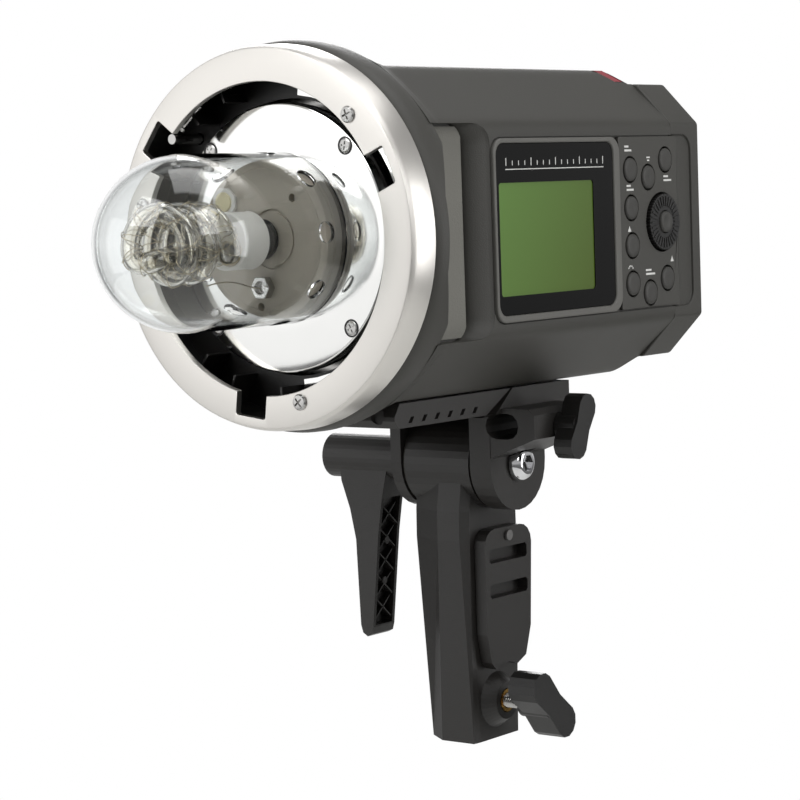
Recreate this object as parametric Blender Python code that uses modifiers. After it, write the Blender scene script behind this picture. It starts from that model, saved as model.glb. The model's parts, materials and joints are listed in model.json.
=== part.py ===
"""Monolight strobe: a battery studio flash head on a tilting handle.

Metres, +Z up. The origin is the centre of the stand socket's mouth under the handle.
The lamp faces -Y and the control panel faces +X. The head tilts about X.
"""

import math

import bmesh
import bpy
from mathutils import Matrix, Vector

GAP = 0.0003  # clearance between separate pieces
SHARP = math.radians(40)  # an edge that turns more than this is shaded sharp

# Places of the main axes
LAMP_Z = 0.211  # height of the lamp's axis
RING_Y = -0.123  # front face of the accessory ring
TILT_Z = 0.115  # height of the tilt axle, which lies over the socket

# Accessory ring and what stands inside it
RING_FACE_R = 0.0713
RING_RIM_R = 0.0730
RING_HOLE_R = 0.0589
RING_DEPTH = 0.0128
RING_PLATE = 0.0030
LUG_SLOT_R = 0.0675
LUG_SLOT_WIDTH = 0.0145
LUG_SLOT_ANGLES = (23, 143, 263)
RING_SCREW_R = 0.0630
RING_SCREW_ANGLES = (45.3, 165.3, 285.3)
DRUM_FLOOR_Y = -0.1035
DISC_R = 0.0510
DISC_Y = -0.1115
BASE_R = 0.0302
BASE_Y = -0.1212
COLLAR_Y = -0.1306
DOME_R = 0.0325
DOME_WALL = 0.0016
DOME_SHOULDER_Y = -0.1650
DOME_NOSE = 0.0345
VENT_HOLES, VENT_START, VENT_R, VENT_Y = 9, 4, 0.0040, -0.1225

# Casing: half sections about the lamp's axis
SIDE_X = 0.0615
SIDE_Z = 0.0404
FACET_X = 0.0360
FACET_Z = 0.0633
CROWN_Z = 0.0640
# Back of the round front, as (radius, Y) from its widest line inwards
BELL_BACK = ((0.0745, -0.0990), (0.0715, -0.0919), (0.0660, -0.0864), (0.0540, -0.0814))
# Beside the finger pockets the bell is scooped away to this slope, as (X, Y) from the ring inwards
SCOOP = ((0.0731, -0.1040), (0.0690, -0.0990), (0.0632, -0.0920), (0.0540, -0.0814))
BODY_Y = -0.0950  # front end of the eight-sided body, inside the bell
SEAM_Y = 0.0700  # joint between the casing and the rear cover
REAR_Y = 0.0963
WALL = 0.0026
GRIP_FLOOR_X = 0.0540
GRIP_END_Y = -0.0685
GRIP_HALF = 0.0409  # half height of the finger pockets
PANEL_X = 0.0602  # floor of the shallow recess that holds the control panel
FRAME_X = 0.0627  # face of the display frame
KEYPAD_X = 0.0619  # face of the keypad
PANEL_REAR_Y = 0.0740  # the panel reaches past the seam on a tongue of the casing

# Controls on the +X side: (name, Y, Z)
BUTTONS = (
    ("mode_button", 0.0378, 0.2326),
    ("beep_button", 0.0513, 0.2293),
    ("group_button", 0.0647, 0.2363),
    ("menu_button", 0.0380, 0.2170),
    ("sync_button", 0.0382, 0.2016),
    ("lamp_button", 0.0380, 0.1860),
    ("power_button", 0.0511, 0.1817),
    ("test_button", 0.0646, 0.1871),
)
BUTTON_R = 0.0048
DIAL_Y, DIAL_Z, DIAL_R = 0.0613, 0.2106, 0.0118

# Tilting bracket
AXLE_R = 0.0040
EAR_R = 0.0193
EAR_LEFT = (-0.0225, -0.0173)
EAR_RIGHT = (0.0180, 0.0282)
KNUCKLE = (-0.0160, 0.0167)
BLOCK_X = 0.0500
UMBRELLA_X, UMBRELLA_Z = 0.0343, 0.1318
UMBRELLA_HOLE = (0.0160, 0.0104)
UMBRELLA_KNOB_Y, UMBRELLA_KNOB_Z = -0.0005, 0.1310
LEVER_HUB = (-0.0675, -0.0255)
LEVER_HUB_R = 0.0094

# Handle
SOCKET_R = 0.0083  # takes a 16 mm (5/8 inch) stand spigot
SOCKET_DEPTH = 0.0600
LOCK_Z = 0.0160
COVER_X = (0.0142, 0.0195)

# Release slider: its place is where the roof's left facet passes over the lock pin
PIN_R, PIN_ANGLE = 0.0602, 139.5
PIN_TIP_Y = -0.1195
RELEASE_Y = -0.0790
FACET_TURN = math.atan2(FACET_Z - SIDE_Z, SIDE_X - FACET_X)

OBJECT = bpy.data.collections.new("monolight_strobe")
CUTTERS = bpy.data.collections.new("cutters")
MATERIALS = {}
# Local axes that carry an outline drawn in a plane to its place
PLANES = {
    "XY": Matrix(((1, 0, 0), (0, 1, 0), (0, 0, 1))),
    "YZ": Matrix(((0, 0, 1), (1, 0, 0), (0, 1, 0))),
    "XZ": Matrix(((1, 0, 0), (0, 0, -1), (0, 1, 0))),
}
AXES = {"X": (1, 0, 0), "Y": (0, 1, 0), "Z": (0, 0, 1), "-Y": (0, -1, 0)}


def clear_scene():
    for obj in list(bpy.data.objects):
        bpy.data.objects.remove(obj, do_unlink=True)
    for group in (OBJECT, CUTTERS):
        bpy.context.scene.collection.children.link(group)


def material(name, colour, roughness, metallic=0.0, alpha=1.0):
    made = bpy.data.materials.new(name)
    made.use_nodes = True
    shader = made.node_tree.nodes["Principled BSDF"]
    shader.inputs["Base Color"].default_value = (*colour, 1.0)
    shader.inputs["Roughness"].default_value = roughness
    shader.inputs["Metallic"].default_value = metallic
    shader.inputs["Alpha"].default_value = alpha
    MATERIALS[name] = made


def make_materials():
    material("casing_plastic", (0.045, 0.044, 0.041), 0.55)
    material("grip_plastic", (0.130, 0.128, 0.118), 0.70)
    material("black_plastic", (0.012, 0.011, 0.010), 0.45)
    material("handle_plastic", (0.024, 0.021, 0.018), 0.50)
    material("key_plastic", (0.040, 0.040, 0.038), 0.50)
    material("satin_aluminium", (0.800, 0.790, 0.770), 0.35, 1.0)
    material("polished_aluminium", (0.880, 0.880, 0.870), 0.12, 1.0)
    material("steel", (0.600, 0.600, 0.610), 0.25, 1.0)
    material("brass", (0.780, 0.570, 0.250), 0.30, 1.0)
    material("ceramic", (0.800, 0.790, 0.760), 0.35)
    material("lamp_base_grey", (0.450, 0.430, 0.390), 0.50)
    material("clear_glass", (0.950, 0.960, 0.960), 0.03, 0.0, 0.35)
    material("display_glass", (0.004, 0.004, 0.004), 0.08)
    material("lcd_green", (0.100, 0.190, 0.035), 0.40)
    material("red_window", (0.300, 0.020, 0.040), 0.15)
    material("circuit_board", (0.020, 0.120, 0.050), 0.55)
    material("capacitor_sleeve", (0.020, 0.025, 0.060), 0.40)


def place(obj, collection, finish=None):
    collection.objects.link(obj)
    if finish:
        obj.data.materials.append(MATERIALS[finish])
    if collection is CUTTERS:
        obj.hide_render = True
        obj.display_type = "WIRE"
    return obj


def mesh_object(name, shape, collection, finish):
    mesh = bpy.data.meshes.new(name)
    shape.to_mesh(mesh)
    shape.free()
    return place(bpy.data.objects.new(name, mesh), collection, finish)


def turn_to(obj, axis):
    """Turns the object's own Z axis to the named axis."""
    turn = Vector((0, 0, 1)).rotation_difference(Vector(AXES[axis]))
    obj.rotation_euler = turn.to_euler()
    return obj


def box(name, low, high, finish=None, collection=None):
    shape = bmesh.new()
    bmesh.ops.create_cube(shape, size=1.0)
    low, high = Vector(low), Vector(high)
    bmesh.ops.scale(shape, vec=high - low, verts=shape.verts)
    obj = mesh_object(name, shape, collection or OBJECT, finish)
    obj.location = (low + high) / 2
    return obj


def cylinder(name, radius, start, length, axis, finish=None, collection=None, segments=32, end_radius=None):
    """A cylinder or cone from the point start, along the named axis."""
    shape = bmesh.new()
    last = radius if end_radius is None else end_radius
    bmesh.ops.create_cone(shape, cap_ends=True, segments=segments, radius1=radius, radius2=last, depth=length)
    bmesh.ops.translate(shape, vec=(0, 0, length / 2), verts=shape.verts)
    obj = mesh_object(name, shape, collection or OBJECT, finish)
    obj.data.shade_smooth()
    obj.data.set_sharp_from_angle(angle=SHARP)
    obj.location = start
    return turn_to(obj, axis)


def turned(name, profile, origin, axis, finish=None, collection=None, segments=48, ring=True):
    """A turned solid. The profile lists (radius, height), down its outer side, then back.

    A ring's profile closes on itself; any other starts and ends on the axis.
    """
    shape = bmesh.new()
    points = [shape.verts.new((radius, 0, height)) for radius, height in profile]
    for first, second in zip(points, points[1:]):
        shape.edges.new((first, second))
    if ring:
        shape.edges.new((points[-1], points[0]))
    obj = mesh_object(name, shape, collection or OBJECT, finish)
    screw = obj.modifiers.new("turn", "SCREW")
    screw.steps = screw.render_steps = segments
    screw.use_merge_vertices = True
    screw.use_smooth_shade = True
    screw.merge_threshold = 0.00001
    obj.location = origin
    return turn_to(obj, axis)


def prism(name, outline, low, high, plane, finish=None, collection=None, holes=()):
    """A flat outline, drawn in the named plane, made solid from low to high along the third axis."""
    curve = bpy.data.curves.new(name, "CURVE")
    curve.dimensions = "2D"
    curve.fill_mode = "BOTH"
    curve.extrude = (high - low) / 2
    for loop in (outline, *holes):
        spline = curve.splines.new("POLY")
        spline.points.add(len(loop) - 1)
        spline.use_cyclic_u = True
        for point, (across, up) in zip(spline.points, loop):
            point.co = (across, up, 0, 1)
    sketch = bpy.data.objects.new(name + "_sketch", curve)
    sketch.matrix_world = PLANES[plane].to_4x4()
    bpy.context.scene.collection.objects.link(sketch)
    bpy.context.view_layer.update()
    graph = bpy.context.evaluated_depsgraph_get()
    mesh = bpy.data.meshes.new_from_object(sketch.evaluated_get(graph))
    shape = bmesh.new()
    shape.from_mesh(mesh)
    bmesh.ops.remove_doubles(shape, verts=shape.verts, dist=0.00001)
    if not holes:
        bmesh.ops.dissolve_limit(shape, angle_limit=0.001, verts=shape.verts, edges=shape.edges)
    bmesh.ops.recalc_face_normals(shape, faces=shape.faces)
    obj = mesh_object(name, shape, collection or OBJECT, finish)
    obj.matrix_world = sketch.matrix_world
    middle = (low + high) / 2
    obj.location = {"XY": (0, 0, middle), "YZ": (middle, 0, 0), "XZ": (0, middle, 0)}[plane]
    bpy.data.objects.remove(sketch)
    bpy.data.meshes.remove(mesh)
    return obj


def loft(name, sections, plane, finish=None, collection=None):
    """A solid through sections of equal point count: [(position, outline), ...], in rising position."""
    shape = bmesh.new()
    turn = PLANES[plane]
    rows = []
    for position, outline in sections:
        depth = -position if plane == "XZ" else position
        rows.append([shape.verts.new(turn @ Vector((across, up, depth))) for across, up in outline])
    count = len(rows[0])
    for near, far in zip(rows, rows[1:]):
        for i in range(count):
            j = (i + 1) % count
            shape.faces.new((near[i], near[j], far[j], far[i]))
    shape.faces.new(rows[0])
    shape.faces.new(rows[-1])
    bmesh.ops.recalc_face_normals(shape, faces=shape.faces)
    return mesh_object(name, shape, collection or OBJECT, finish)


def arc(centre, radius, start, end, steps):
    """Points on an arc, from start to end in degrees."""
    angles = [math.radians(start + (end - start) * i / steps) for i in range(steps + 1)]
    return [(centre[0] + radius * math.cos(a), centre[1] + radius * math.sin(a)) for a in angles]


def rounded(low, high, radius, steps=3):
    """A rectangle with round corners, counter-clockwise."""
    corners = (
        ((high[0] - radius, low[1] + radius), -90),
        ((high[0] - radius, high[1] - radius), 0),
        ((low[0] + radius, high[1] - radius), 90),
        ((low[0] + radius, low[1] + radius), 180),
    )
    return [point for centre, start in corners for point in arc(centre, radius, start, start + 90, steps)]


def stadium(centre, length, width, tilt=0.0, waist=1.0, steps=6):
    """A long outline with round ends, its waist narrowed, turned by tilt degrees from the first axis."""
    reach, half = (length - width) / 2, width / 2
    points = arc((reach, 0), half, -90, 90, steps) + [(0, half * waist)]
    points += arc((-reach, 0), half, 90, 270, steps) + [(0, -half * waist)]
    c, s = math.cos(math.radians(tilt)), math.sin(math.radians(tilt))
    return [(centre[0] + x * c - y * s, centre[1] + x * s + y * c) for x, y in points]


def octagon(side, half_height, facet_x, facet_z, crown, middle=LAMP_Z):
    """The casing's section in X and Z, about the lamp's axis."""
    half = [(side, -half_height), (side, half_height), (facet_x, facet_z), (facet_x * 0.5, crown)]
    half = [(facet_x * 0.5, -crown), (facet_x, -facet_z)] + half
    points = half + [(-x, z) for x, z in reversed(half)]
    return [(x, middle + z) for x, z in points]


def boolean(obj, cutter, operation="DIFFERENCE"):
    """Cuts, joins or crosses the object with a helper, which is then left out of the model."""
    modifier = obj.modifiers.new(cutter.name, "BOOLEAN")
    modifier.operation = operation
    modifier.object = cutter
    return obj


def join(obj, other):
    """Unites a second helper solid with the object."""
    return boolean(obj, other, "UNION")


def bevel(obj, width, segments=1, angle=40):
    modifier = obj.modifiers.new("edges", "BEVEL")
    modifier.width = width
    modifier.segments = segments
    modifier.limit_method = "ANGLE"
    modifier.angle_limit = math.radians(angle)
    return obj


def pivot(obj, point):
    """Puts the object's origin on its joint's axis, and leaves its shape where it is."""
    bpy.context.view_layer.update()
    local = obj.matrix_world.inverted() @ Vector(point)
    obj.data.transform(Matrix.Translation(-local))
    obj.location = point
    return obj


def polar(radius, degrees, y):
    """A point about the lamp's axis, its angle counted from +X towards +Z."""
    angle = math.radians(degrees)
    return Vector((radius * math.cos(angle), y, LAMP_Z + radius * math.sin(angle)))


# --- accessory ring and lamp ---------------------------------------------------------------


def make_ring():
    back = RING_DEPTH
    profile = [
        (RING_RIM_R, back),
        (RING_RIM_R, back - 0.0018),
        (RING_FACE_R + 0.0004, 0.0014),
        (RING_FACE_R - 0.0006, 0.0),
        (RING_HOLE_R + 0.0005, 0.0),
        (RING_HOLE_R, 0.0005),
        (RING_HOLE_R, RING_PLATE),
        (RING_FACE_R - 0.0012, RING_PLATE),
        (RING_FACE_R - 0.0012, back),
    ]
    ring = turned("mount_ring", profile, (0, RING_Y, LAMP_Z), "Y", "satin_aluminium", segments=60)
    for number, angle in enumerate(LUG_SLOT_ANGLES):
        half = LUG_SLOT_WIDTH / 2
        slot = box(
            f"lug_slot_{number}",
            (0.050, -0.001, -half),
            (LUG_SLOT_R, RING_PLATE + 0.001, half),
            collection=CUTTERS,
        )
        middle = (0.050 + LUG_SLOT_R) / 2
        slot.location = polar(middle, angle, RING_Y + RING_PLATE / 2)
        slot.rotation_euler = (0, -math.radians(angle), 0)
        boolean(ring, slot)
    for number, angle in enumerate(RING_SCREW_ANGLES):
        pan_screw(f"ring_screw_{number + 1}", polar(RING_SCREW_R, angle, RING_Y), 0.0032, 0.0015)


def pan_screw(name, seat, radius, height):
    """A pan head, which stands proud of the face at its seat and faces -Y."""
    dome = [(radius * 0.55, height * 0.92), (radius * 0.9, height * 0.55)]
    profile = [(0, height)] + dome + [(radius, 0.0), (0, 0.0)]
    screw = turned(name, profile, seat + Vector((0, -GAP, 0)), "-Y", "steel", segments=16, ring=False)
    size = radius * 0.9
    for number, turn in enumerate((0, 90)):
        slot = box(
            f"{name}_cross_{number}",
            (-size / 2, -0.0006, -radius * 0.11),
            (size / 2, 0.0006, radius * 0.11),
            collection=CUTTERS,
        )
        slot.location = seat + Vector((0, -GAP - height, 0))
        slot.rotation_euler = (0, math.radians(turn + 20), 0)
        boolean(screw, slot)


def lug_stop(name, angle, grow=0.0):
    """One of the three stops that end an accessory's turn, as a helper solid."""
    low, high = Vector((-0.0048, -0.0040, -0.0011)), Vector((0.0048, 0.0040, 0.0011))
    margin = Vector((grow, grow, grow))
    stop = box(name, low - margin, high + margin, collection=CUTTERS)
    stop.location = polar(0.0640, angle - 31, DRUM_FLOOR_Y - 0.0035)
    stop.rotation_euler = (0, -math.radians(angle - 31), 0)
    return stop


def make_drum():
    """The black tray behind the ring, where an accessory's lugs turn."""
    floor = DRUM_FLOOR_Y
    front = RING_Y + RING_PLATE + GAP
    profile = [
        (0.0697, floor + 0.0018 - front),
        (0.0697, 0.0),
        (0.0681, 0.0),
        (0.0681, floor - front),
        (0.0528, floor - front),
        (0.0528, floor + 0.0018 - front),
    ]
    drum = turned("mount_drum", profile, (0, front, LAMP_Z), "Y", "black_plastic", segments=56)
    start = polar(PIN_R, PIN_ANGLE, floor - 0.01)
    boolean(drum, cylinder("pin_hole", 0.0024, start, 0.02, "Y", collection=CUTTERS, segments=12))
    outline = arc((0, LAMP_Z), 0.0672, -86, 84, 24) + arc((0, LAMP_Z), 0.0540, 84, -86, 24)
    apron = prism("reflector_apron", outline, floor - GAP - 0.0010, floor - GAP, "XZ", "polished_aluminium")
    for number, angle in enumerate(LUG_SLOT_ANGLES):
        join(drum, lug_stop(f"lug_stop_{number}", angle))
        boolean(apron, lug_stop(f"apron_notch_{number}", angle, GAP))


def make_reflector():
    back = DRUM_FLOOR_Y - GAP - DISC_Y
    profile = [
        (DISC_R, back),
        (DISC_R, 0.0006),
        (DISC_R - 0.0006, 0.0),
        (BASE_R - 0.0020, 0.0),
        (BASE_R - 0.0020, 0.0012),
        (DISC_R - 0.0012, 0.0012),
        (DISC_R - 0.0012, back),
    ]
    turned("reflector_disc", profile, (0, DISC_Y, LAMP_Z), "Y", "polished_aluminium", segments=56)


def make_lamp():
    neck = BASE_R - 0.0026
    flange = DISC_Y - GAP - BASE_Y
    profile = [
        (0, 0.0262),
        (neck, 0.0262),
        (neck, flange),
        (BASE_R, flange),
        (BASE_R, 0.0006),
        (BASE_R - 0.0006, 0.0),
        (0, 0.0),
    ]
    turned("lamp_base", profile, (0, BASE_Y, LAMP_Z), "Y", "lamp_base_grey", ring=False)

    # ribbed socket, collar, terminal and modelling lamp stand on the base, towards -Y
    seat = BASE_Y - GAP
    ribs = []
    for rib in range(4):
        low = rib * 0.0022
        ribs += [(0.0076, low), (0.0076, low + 0.0014), (0.0068, low + 0.0015), (0.0068, low + 0.0021)]
    socket = [(0, ribs[-1][1])] + ribs[::-1] + [(0, 0)]
    turned("lamp_socket", socket, (0, seat, LAMP_Z), "-Y", "black_plastic", segments=18, ring=False)
    collar = [(0, 0.0124), (0.0104, 0.0124), (0.0110, 0.0118), (0.0110, 0.0006), (0.0104, 0), (0, 0)]
    turned("tube_collar", collar, (0, COLLAR_Y, LAMP_Z), "-Y", "ceramic", segments=32, ring=False)
    cylinder("trigger_terminal", 0.0046, (0, seat, LAMP_Z - 0.0181), 0.0045, "-Y", "steel", segments=6)
    cylinder("modelling_led", 0.0062, (-0.0170, seat, LAMP_Z + 0.0150), 0.0022, "-Y", "ceramic", segments=8)


def flash_tube_path():
    """Two and a half turns of glass tube, with both ends led back to the collar."""
    start = COLLAR_Y - 0.0124 - 0.0020
    radius, turns, per_turn = 0.0120, 2.5, 16
    back, front = -0.1560, -0.1800
    points = [Vector((0, start, LAMP_Z + 0.0062)), Vector((0.0005, start - 0.0045, LAMP_Z + 0.0080))]
    total = int(turns * per_turn)
    for i in range(total + 1):
        share = i / total
        angle = math.pi / 2 + share * turns * 2 * math.pi
        x, z = radius * math.cos(angle), radius * math.sin(angle)
        points.append(Vector((x, back + (front - back) * share, LAMP_Z + z)))
    points.append(Vector((0, front + 0.0050, LAMP_Z - 0.0030)))
    points.append(Vector((0, start - 0.0060, LAMP_Z - 0.0038)))
    points.append(Vector((0, start, LAMP_Z - 0.0050)))
    return points


def make_flash_tube():
    curve = bpy.data.curves.new("flash_tube", "CURVE")
    curve.dimensions = "3D"
    curve.bevel_depth = 0.0036
    curve.bevel_resolution = 2
    curve.use_fill_caps = True
    spline = curve.splines.new("POLY")
    path = flash_tube_path()
    spline.points.add(len(path) - 1)
    for point, spot in zip(spline.points, path):
        point.co = (*spot, 1)
    place(bpy.data.objects.new("flash_tube", curve), OBJECT, "clear_glass")


def make_dome():
    shoulder = DOME_SHOULDER_Y - (DISC_Y - GAP)
    profile = [(0, DOME_NOSE - shoulder)]
    steps = 8
    for i in range(1, steps + 1):
        angle = math.radians(90 * (1 - i / steps))
        profile.append((DOME_R * math.cos(angle), -shoulder + DOME_NOSE * math.sin(angle)))
    profile += [(DOME_R, 0.0), (DOME_R - DOME_WALL, 0.0)]
    inner_nose = DOME_NOSE - DOME_WALL
    for i in range(steps + 1):
        angle = math.radians(90 * i / steps)
        radius = (DOME_R - DOME_WALL) * math.cos(angle)
        profile.append((radius if i < steps else 0, -shoulder + inner_nose * math.sin(angle)))
    dome = turned("glass_dome", profile, (0, DISC_Y - GAP, LAMP_Z), "-Y", "clear_glass", segments=36, ring=False)
    for number in range(VENT_HOLES):
        angle = VENT_START + number * 360 / VENT_HOLES
        start = polar(DOME_R - 0.006, angle, VENT_Y)
        hole = cylinder(f"vent_hole_{number}", VENT_R, start, 0.012, "Z", collection=CUTTERS, segments=12)
        hole.rotation_euler = (0, math.pi / 2 - math.radians(angle), 0)
        boolean(dome, hole)


# --- casing --------------------------------------------------------------------------------


def casing_body(name, collection=None, finish=None):
    """The long eight-sided body, before the round front is joined to it."""
    section = octagon(SIDE_X, SIDE_Z, FACET_X, FACET_Z, CROWN_Z)
    return prism(name, section, BODY_Y, SEAM_Y, "XZ", finish, collection)


def bell_back(radius):
    """Y of the bell's back surface at a radius."""
    for (wide, near), (narrow, far) in zip(BELL_BACK, BELL_BACK[1:]):
        if narrow <= radius <= wide:
            return near + (far - near) * (wide - radius) / (wide - narrow)
    return BELL_BACK[-1][1]


def on_facet(obj, y, height):
    """Moves a helper, made about its own origin, onto the roof's left facet over the lock pin."""
    pin = polar(PIN_R, PIN_ANGLE, 0)
    normal = Vector((-math.sin(FACET_TURN), 0, math.cos(FACET_TURN)))
    corner = Vector((-FACET_X, 0, LAMP_Z + FACET_Z))
    rise = (corner - pin).dot(normal)
    obj.location = Vector((pin.x, y, pin.z)) + normal * (rise + height)
    obj.rotation_euler = (0, -FACET_TURN, 0)
    return obj


def rear_steps(name):
    """The wedges that lower the casing's roof and floor towards the rear cover."""
    tools = []
    for side in (1, -1):
        edge = LAMP_Z + side * 0.0575
        out = LAMP_Z + side * 0.0700
        start = 0.0572 if side > 0 else 0.0590
        high = LAMP_Z + side * 0.0645
        outline = [(start, high), (start + 0.0105, edge), (0.0800, edge), (0.0800, out), (start, out)]
        tools.append(prism(f"{name}_{side}", outline, -0.08, 0.08, "YZ", collection=CUTTERS))
    return tools


WINDOW_TOP, WINDOW_LOW = LAMP_Z + 0.0645, LAMP_Z + 0.0585


def window_outline():
    """The red receiver window lies along the slope behind the roof, in Y and Z."""
    return [
        (0.0500, WINDOW_TOP),
        (0.0595, WINDOW_LOW),
        (0.0657, WINDOW_LOW),
        (0.0562, WINDOW_TOP),
    ]


def window_notch():
    """The open notch in the casing that the window sits in."""
    low, high = WINDOW_LOW - GAP, WINDOW_TOP + 0.01
    outline = [(0.0497, high), (0.0497, WINDOW_TOP), (0.0592, low), (0.0720, low), (0.0720, high)]
    return prism("window_notch", outline, -0.0433, 0.0433, "YZ", collection=CUTTERS)


def panel_tongue(name, grow=0.0):
    """The casing's side wall runs past the seam as a tongue under the keypad."""
    low = (SIDE_X - WALL - 0.0010 - grow, SEAM_Y - 0.001, LAMP_Z - 0.0352 - grow)
    high = (SIDE_X - 0.0004 + 2 * grow, PANEL_REAR_Y + grow, LAMP_Z + 0.0349 + grow)
    return box(name, low, high, collection=CUTTERS)


def hollow_casing(casing):
    """A stepped round well for the lamp, a narrow throat between the grips, and the main hold."""
    ring_back = RING_Y + RING_DEPTH + GAP
    depth, step = 0.0150, 0.0087
    profile = [(0, depth), (0.0625, depth), (0.0625, step), (0.0700, step), (0.0700, -0.01), (0, -0.01)]
    well = turned("lamp_well", profile, (0, ring_back, LAMP_Z), "Y", collection=CUTTERS, segments=64, ring=False)
    throat = octagon(0.0510, 0.0420, 0.0340, 0.0600, 0.0605)
    hold = octagon(SIDE_X - WALL, SIDE_Z - 0.001, FACET_X - 0.001, FACET_Z - 0.0085, CROWN_Z - 0.0089)
    boolean(casing, well)
    boolean(casing, prism("throat", throat, -0.100, -0.050, "XZ", collection=CUTTERS))
    boolean(casing, prism("hold", hold, -0.055, SEAM_Y + 0.01, "XZ", collection=CUTTERS))


def open_casing(casing):
    """Openings for the control panel, the battery, the receiver window and the release slider."""
    recess = rounded((-0.0594, LAMP_Z - 0.0358), (0.0900, LAMP_Z + 0.0353), 0.006, 4)
    boolean(casing, prism("panel_recess", recess, PANEL_X, 0.070, "YZ", collection=CUTTERS))
    openings = (
        ("display_opening", (-0.0560, 0.1790), (0.0225, 0.2430), (0.050, 0.070)),
        ("keypad_opening", (0.0310, 0.1765), (0.0702, 0.2445), (0.050, 0.070)),
        ("battery_opening", (-0.0520, 0.1750), (0.0620, 0.2470), (-0.070, -0.050)),
    )
    for name, low, high, across in openings:
        outline = rounded(low, high, 0.0035)
        boolean(casing, prism(name, outline, across[0], across[1], "YZ", collection=CUTTERS))
    start = (0.050, DIAL_Y, DIAL_Z)
    boolean(casing, cylinder("dial_well", DIAL_R + GAP, start, 0.02, "X", collection=CUTTERS, segments=40))
    boolean(casing, window_notch())
    slot = box("release_slot", (-0.0018, -0.0048, -0.0060), (0.0018, 0.0048, 0.0060), collection=CUTTERS)
    boolean(casing, on_facet(slot, RELEASE_Y + 0.0030, 0.0))


def make_casing():
    casing = casing_body("main_casing", finish="casing_plastic")
    low, high = LAMP_Z - GRIP_HALF, LAMP_Z + GRIP_HALF
    for side in (1, -1):
        inner = side * GRIP_FLOOR_X
        rise = side * (SIDE_X + 0.02)
        outline = [(inner, -0.13), (rise, -0.13), (rise, -0.0335), (side * SIDE_X, -0.0590), (inner, GRIP_END_Y)]
        boolean(casing, prism(f"grip_pocket_{side}", outline, low, high, "XY", collection=CUTTERS))
    for wedge in rear_steps("step"):
        boolean(casing, wedge)
    ring_back = RING_Y + RING_DEPTH + GAP
    backs = [(radius, y - ring_back) for radius, y in BELL_BACK[::-1]]
    profile = [(0, backs[0][1])] + backs + [(0.0742, 0.0030), (RING_RIM_R, 0.0), (0, 0.0)]
    bell = turned("bell", profile, (0, ring_back, LAMP_Z), "Y", collection=CUTTERS, segments=56, ring=False)
    join(casing, bell)
    for side in (1, -1):
        slope = [(side * x, y) for x, y in SCOOP]
        outline = slope + [(side * 0.0800, SCOOP[-1][1]), (side * 0.0800, SCOOP[0][1])]
        boolean(casing, prism(f"scoop_{side}", outline, low, high, "XY", collection=CUTTERS))
    join(casing, panel_tongue("panel_tongue"))
    hollow_casing(casing)
    open_casing(casing)

    window = prism("receiver_window", window_outline(), -0.0430, 0.0430, "YZ", "red_window")
    boolean(window, casing_body("window_limit", CUTTERS), "INTERSECT")


def make_rear_cover():
    front = SEAM_Y + GAP
    section = octagon(SIDE_X, SIDE_Z, 0.0450, 0.0550, 0.0575)
    cover = loft(
        "rear_cover",
        [
            (front, section),
            (REAR_Y - 0.0040, section),
            (REAR_Y, octagon(SIDE_X - 0.003, SIDE_Z - 0.002, 0.0420, 0.0520, 0.0545)),
        ],
        "XZ",
        "casing_plastic",
    )
    inner = octagon(SIDE_X - 0.004, SIDE_Z - 0.002, 0.0400, 0.0510, 0.0535)
    boolean(cover, prism("cover_hollow", inner, front - 0.01, REAR_Y - 0.0045, "XZ", collection=CUTTERS))
    boolean(cover, panel_tongue("tongue_space", 0.0005))
    # air slots for the fan
    for row in range(6):
        level = LAMP_Z + 0.0100 + row * 0.0055
        slot = rounded((-0.0250, level), (0.0250, level + 0.0026), 0.0012, 2)
        boolean(cover, prism(f"air_slot_{row}", slot, REAR_Y - 0.02, REAR_Y + 0.01, "XZ", collection=CUTTERS))
    ports = rounded((-0.0300, LAMP_Z - 0.0330), (0.0300, LAMP_Z - 0.0150), 0.003)
    boolean(cover, prism("port_opening", ports, REAR_Y - 0.02, REAR_Y + 0.01, "XZ", collection=CUTTERS))
    panel = rounded((-0.0297, LAMP_Z - 0.0327), (0.0297, LAMP_Z - 0.0153), 0.003)
    plate = prism("port_panel", panel, REAR_Y - 0.0042, REAR_Y - 0.0012, "XZ", "black_plastic")
    for number, (across, radius) in enumerate(((-0.0180, 0.0034), (0.0, 0.0025), (0.0180, 0.0050))):
        start = (across, REAR_Y - 0.02, LAMP_Z - 0.0240)
        boolean(plate, cylinder(f"jack_{number}", radius, start, 0.03, "Y", collection=CUTTERS, segments=16))


def make_display():
    outer = rounded((-0.0590, 0.1755), (0.0290, 0.2460), 0.006, 4)
    inner = rounded((-0.0572, 0.1782), (0.0242, 0.2438), 0.005, 4)
    prism("display_frame", outer, PANEL_X + GAP, FRAME_X, "YZ", "casing_plastic", holes=(inner[::-1],))
    glass = rounded((-0.0555, 0.1795), (0.0220, 0.2425), 0.0035, 3)
    window = prism("display_window", glass, FRAME_X - 0.0030, FRAME_X - 0.0006, "YZ", "display_glass")
    bezel = rounded((-0.0569, 0.1785), (0.0239, 0.2435), 0.0047, 4)
    lip = prism("window_lip", bezel, PANEL_X + 2 * GAP, FRAME_X - 0.0006, "YZ", collection=CUTTERS)
    join(window, lip)
    box("lcd_module", (0.0525, -0.0540, 0.1815), (0.0591, 0.0120, 0.2330), "lcd_green")


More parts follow.
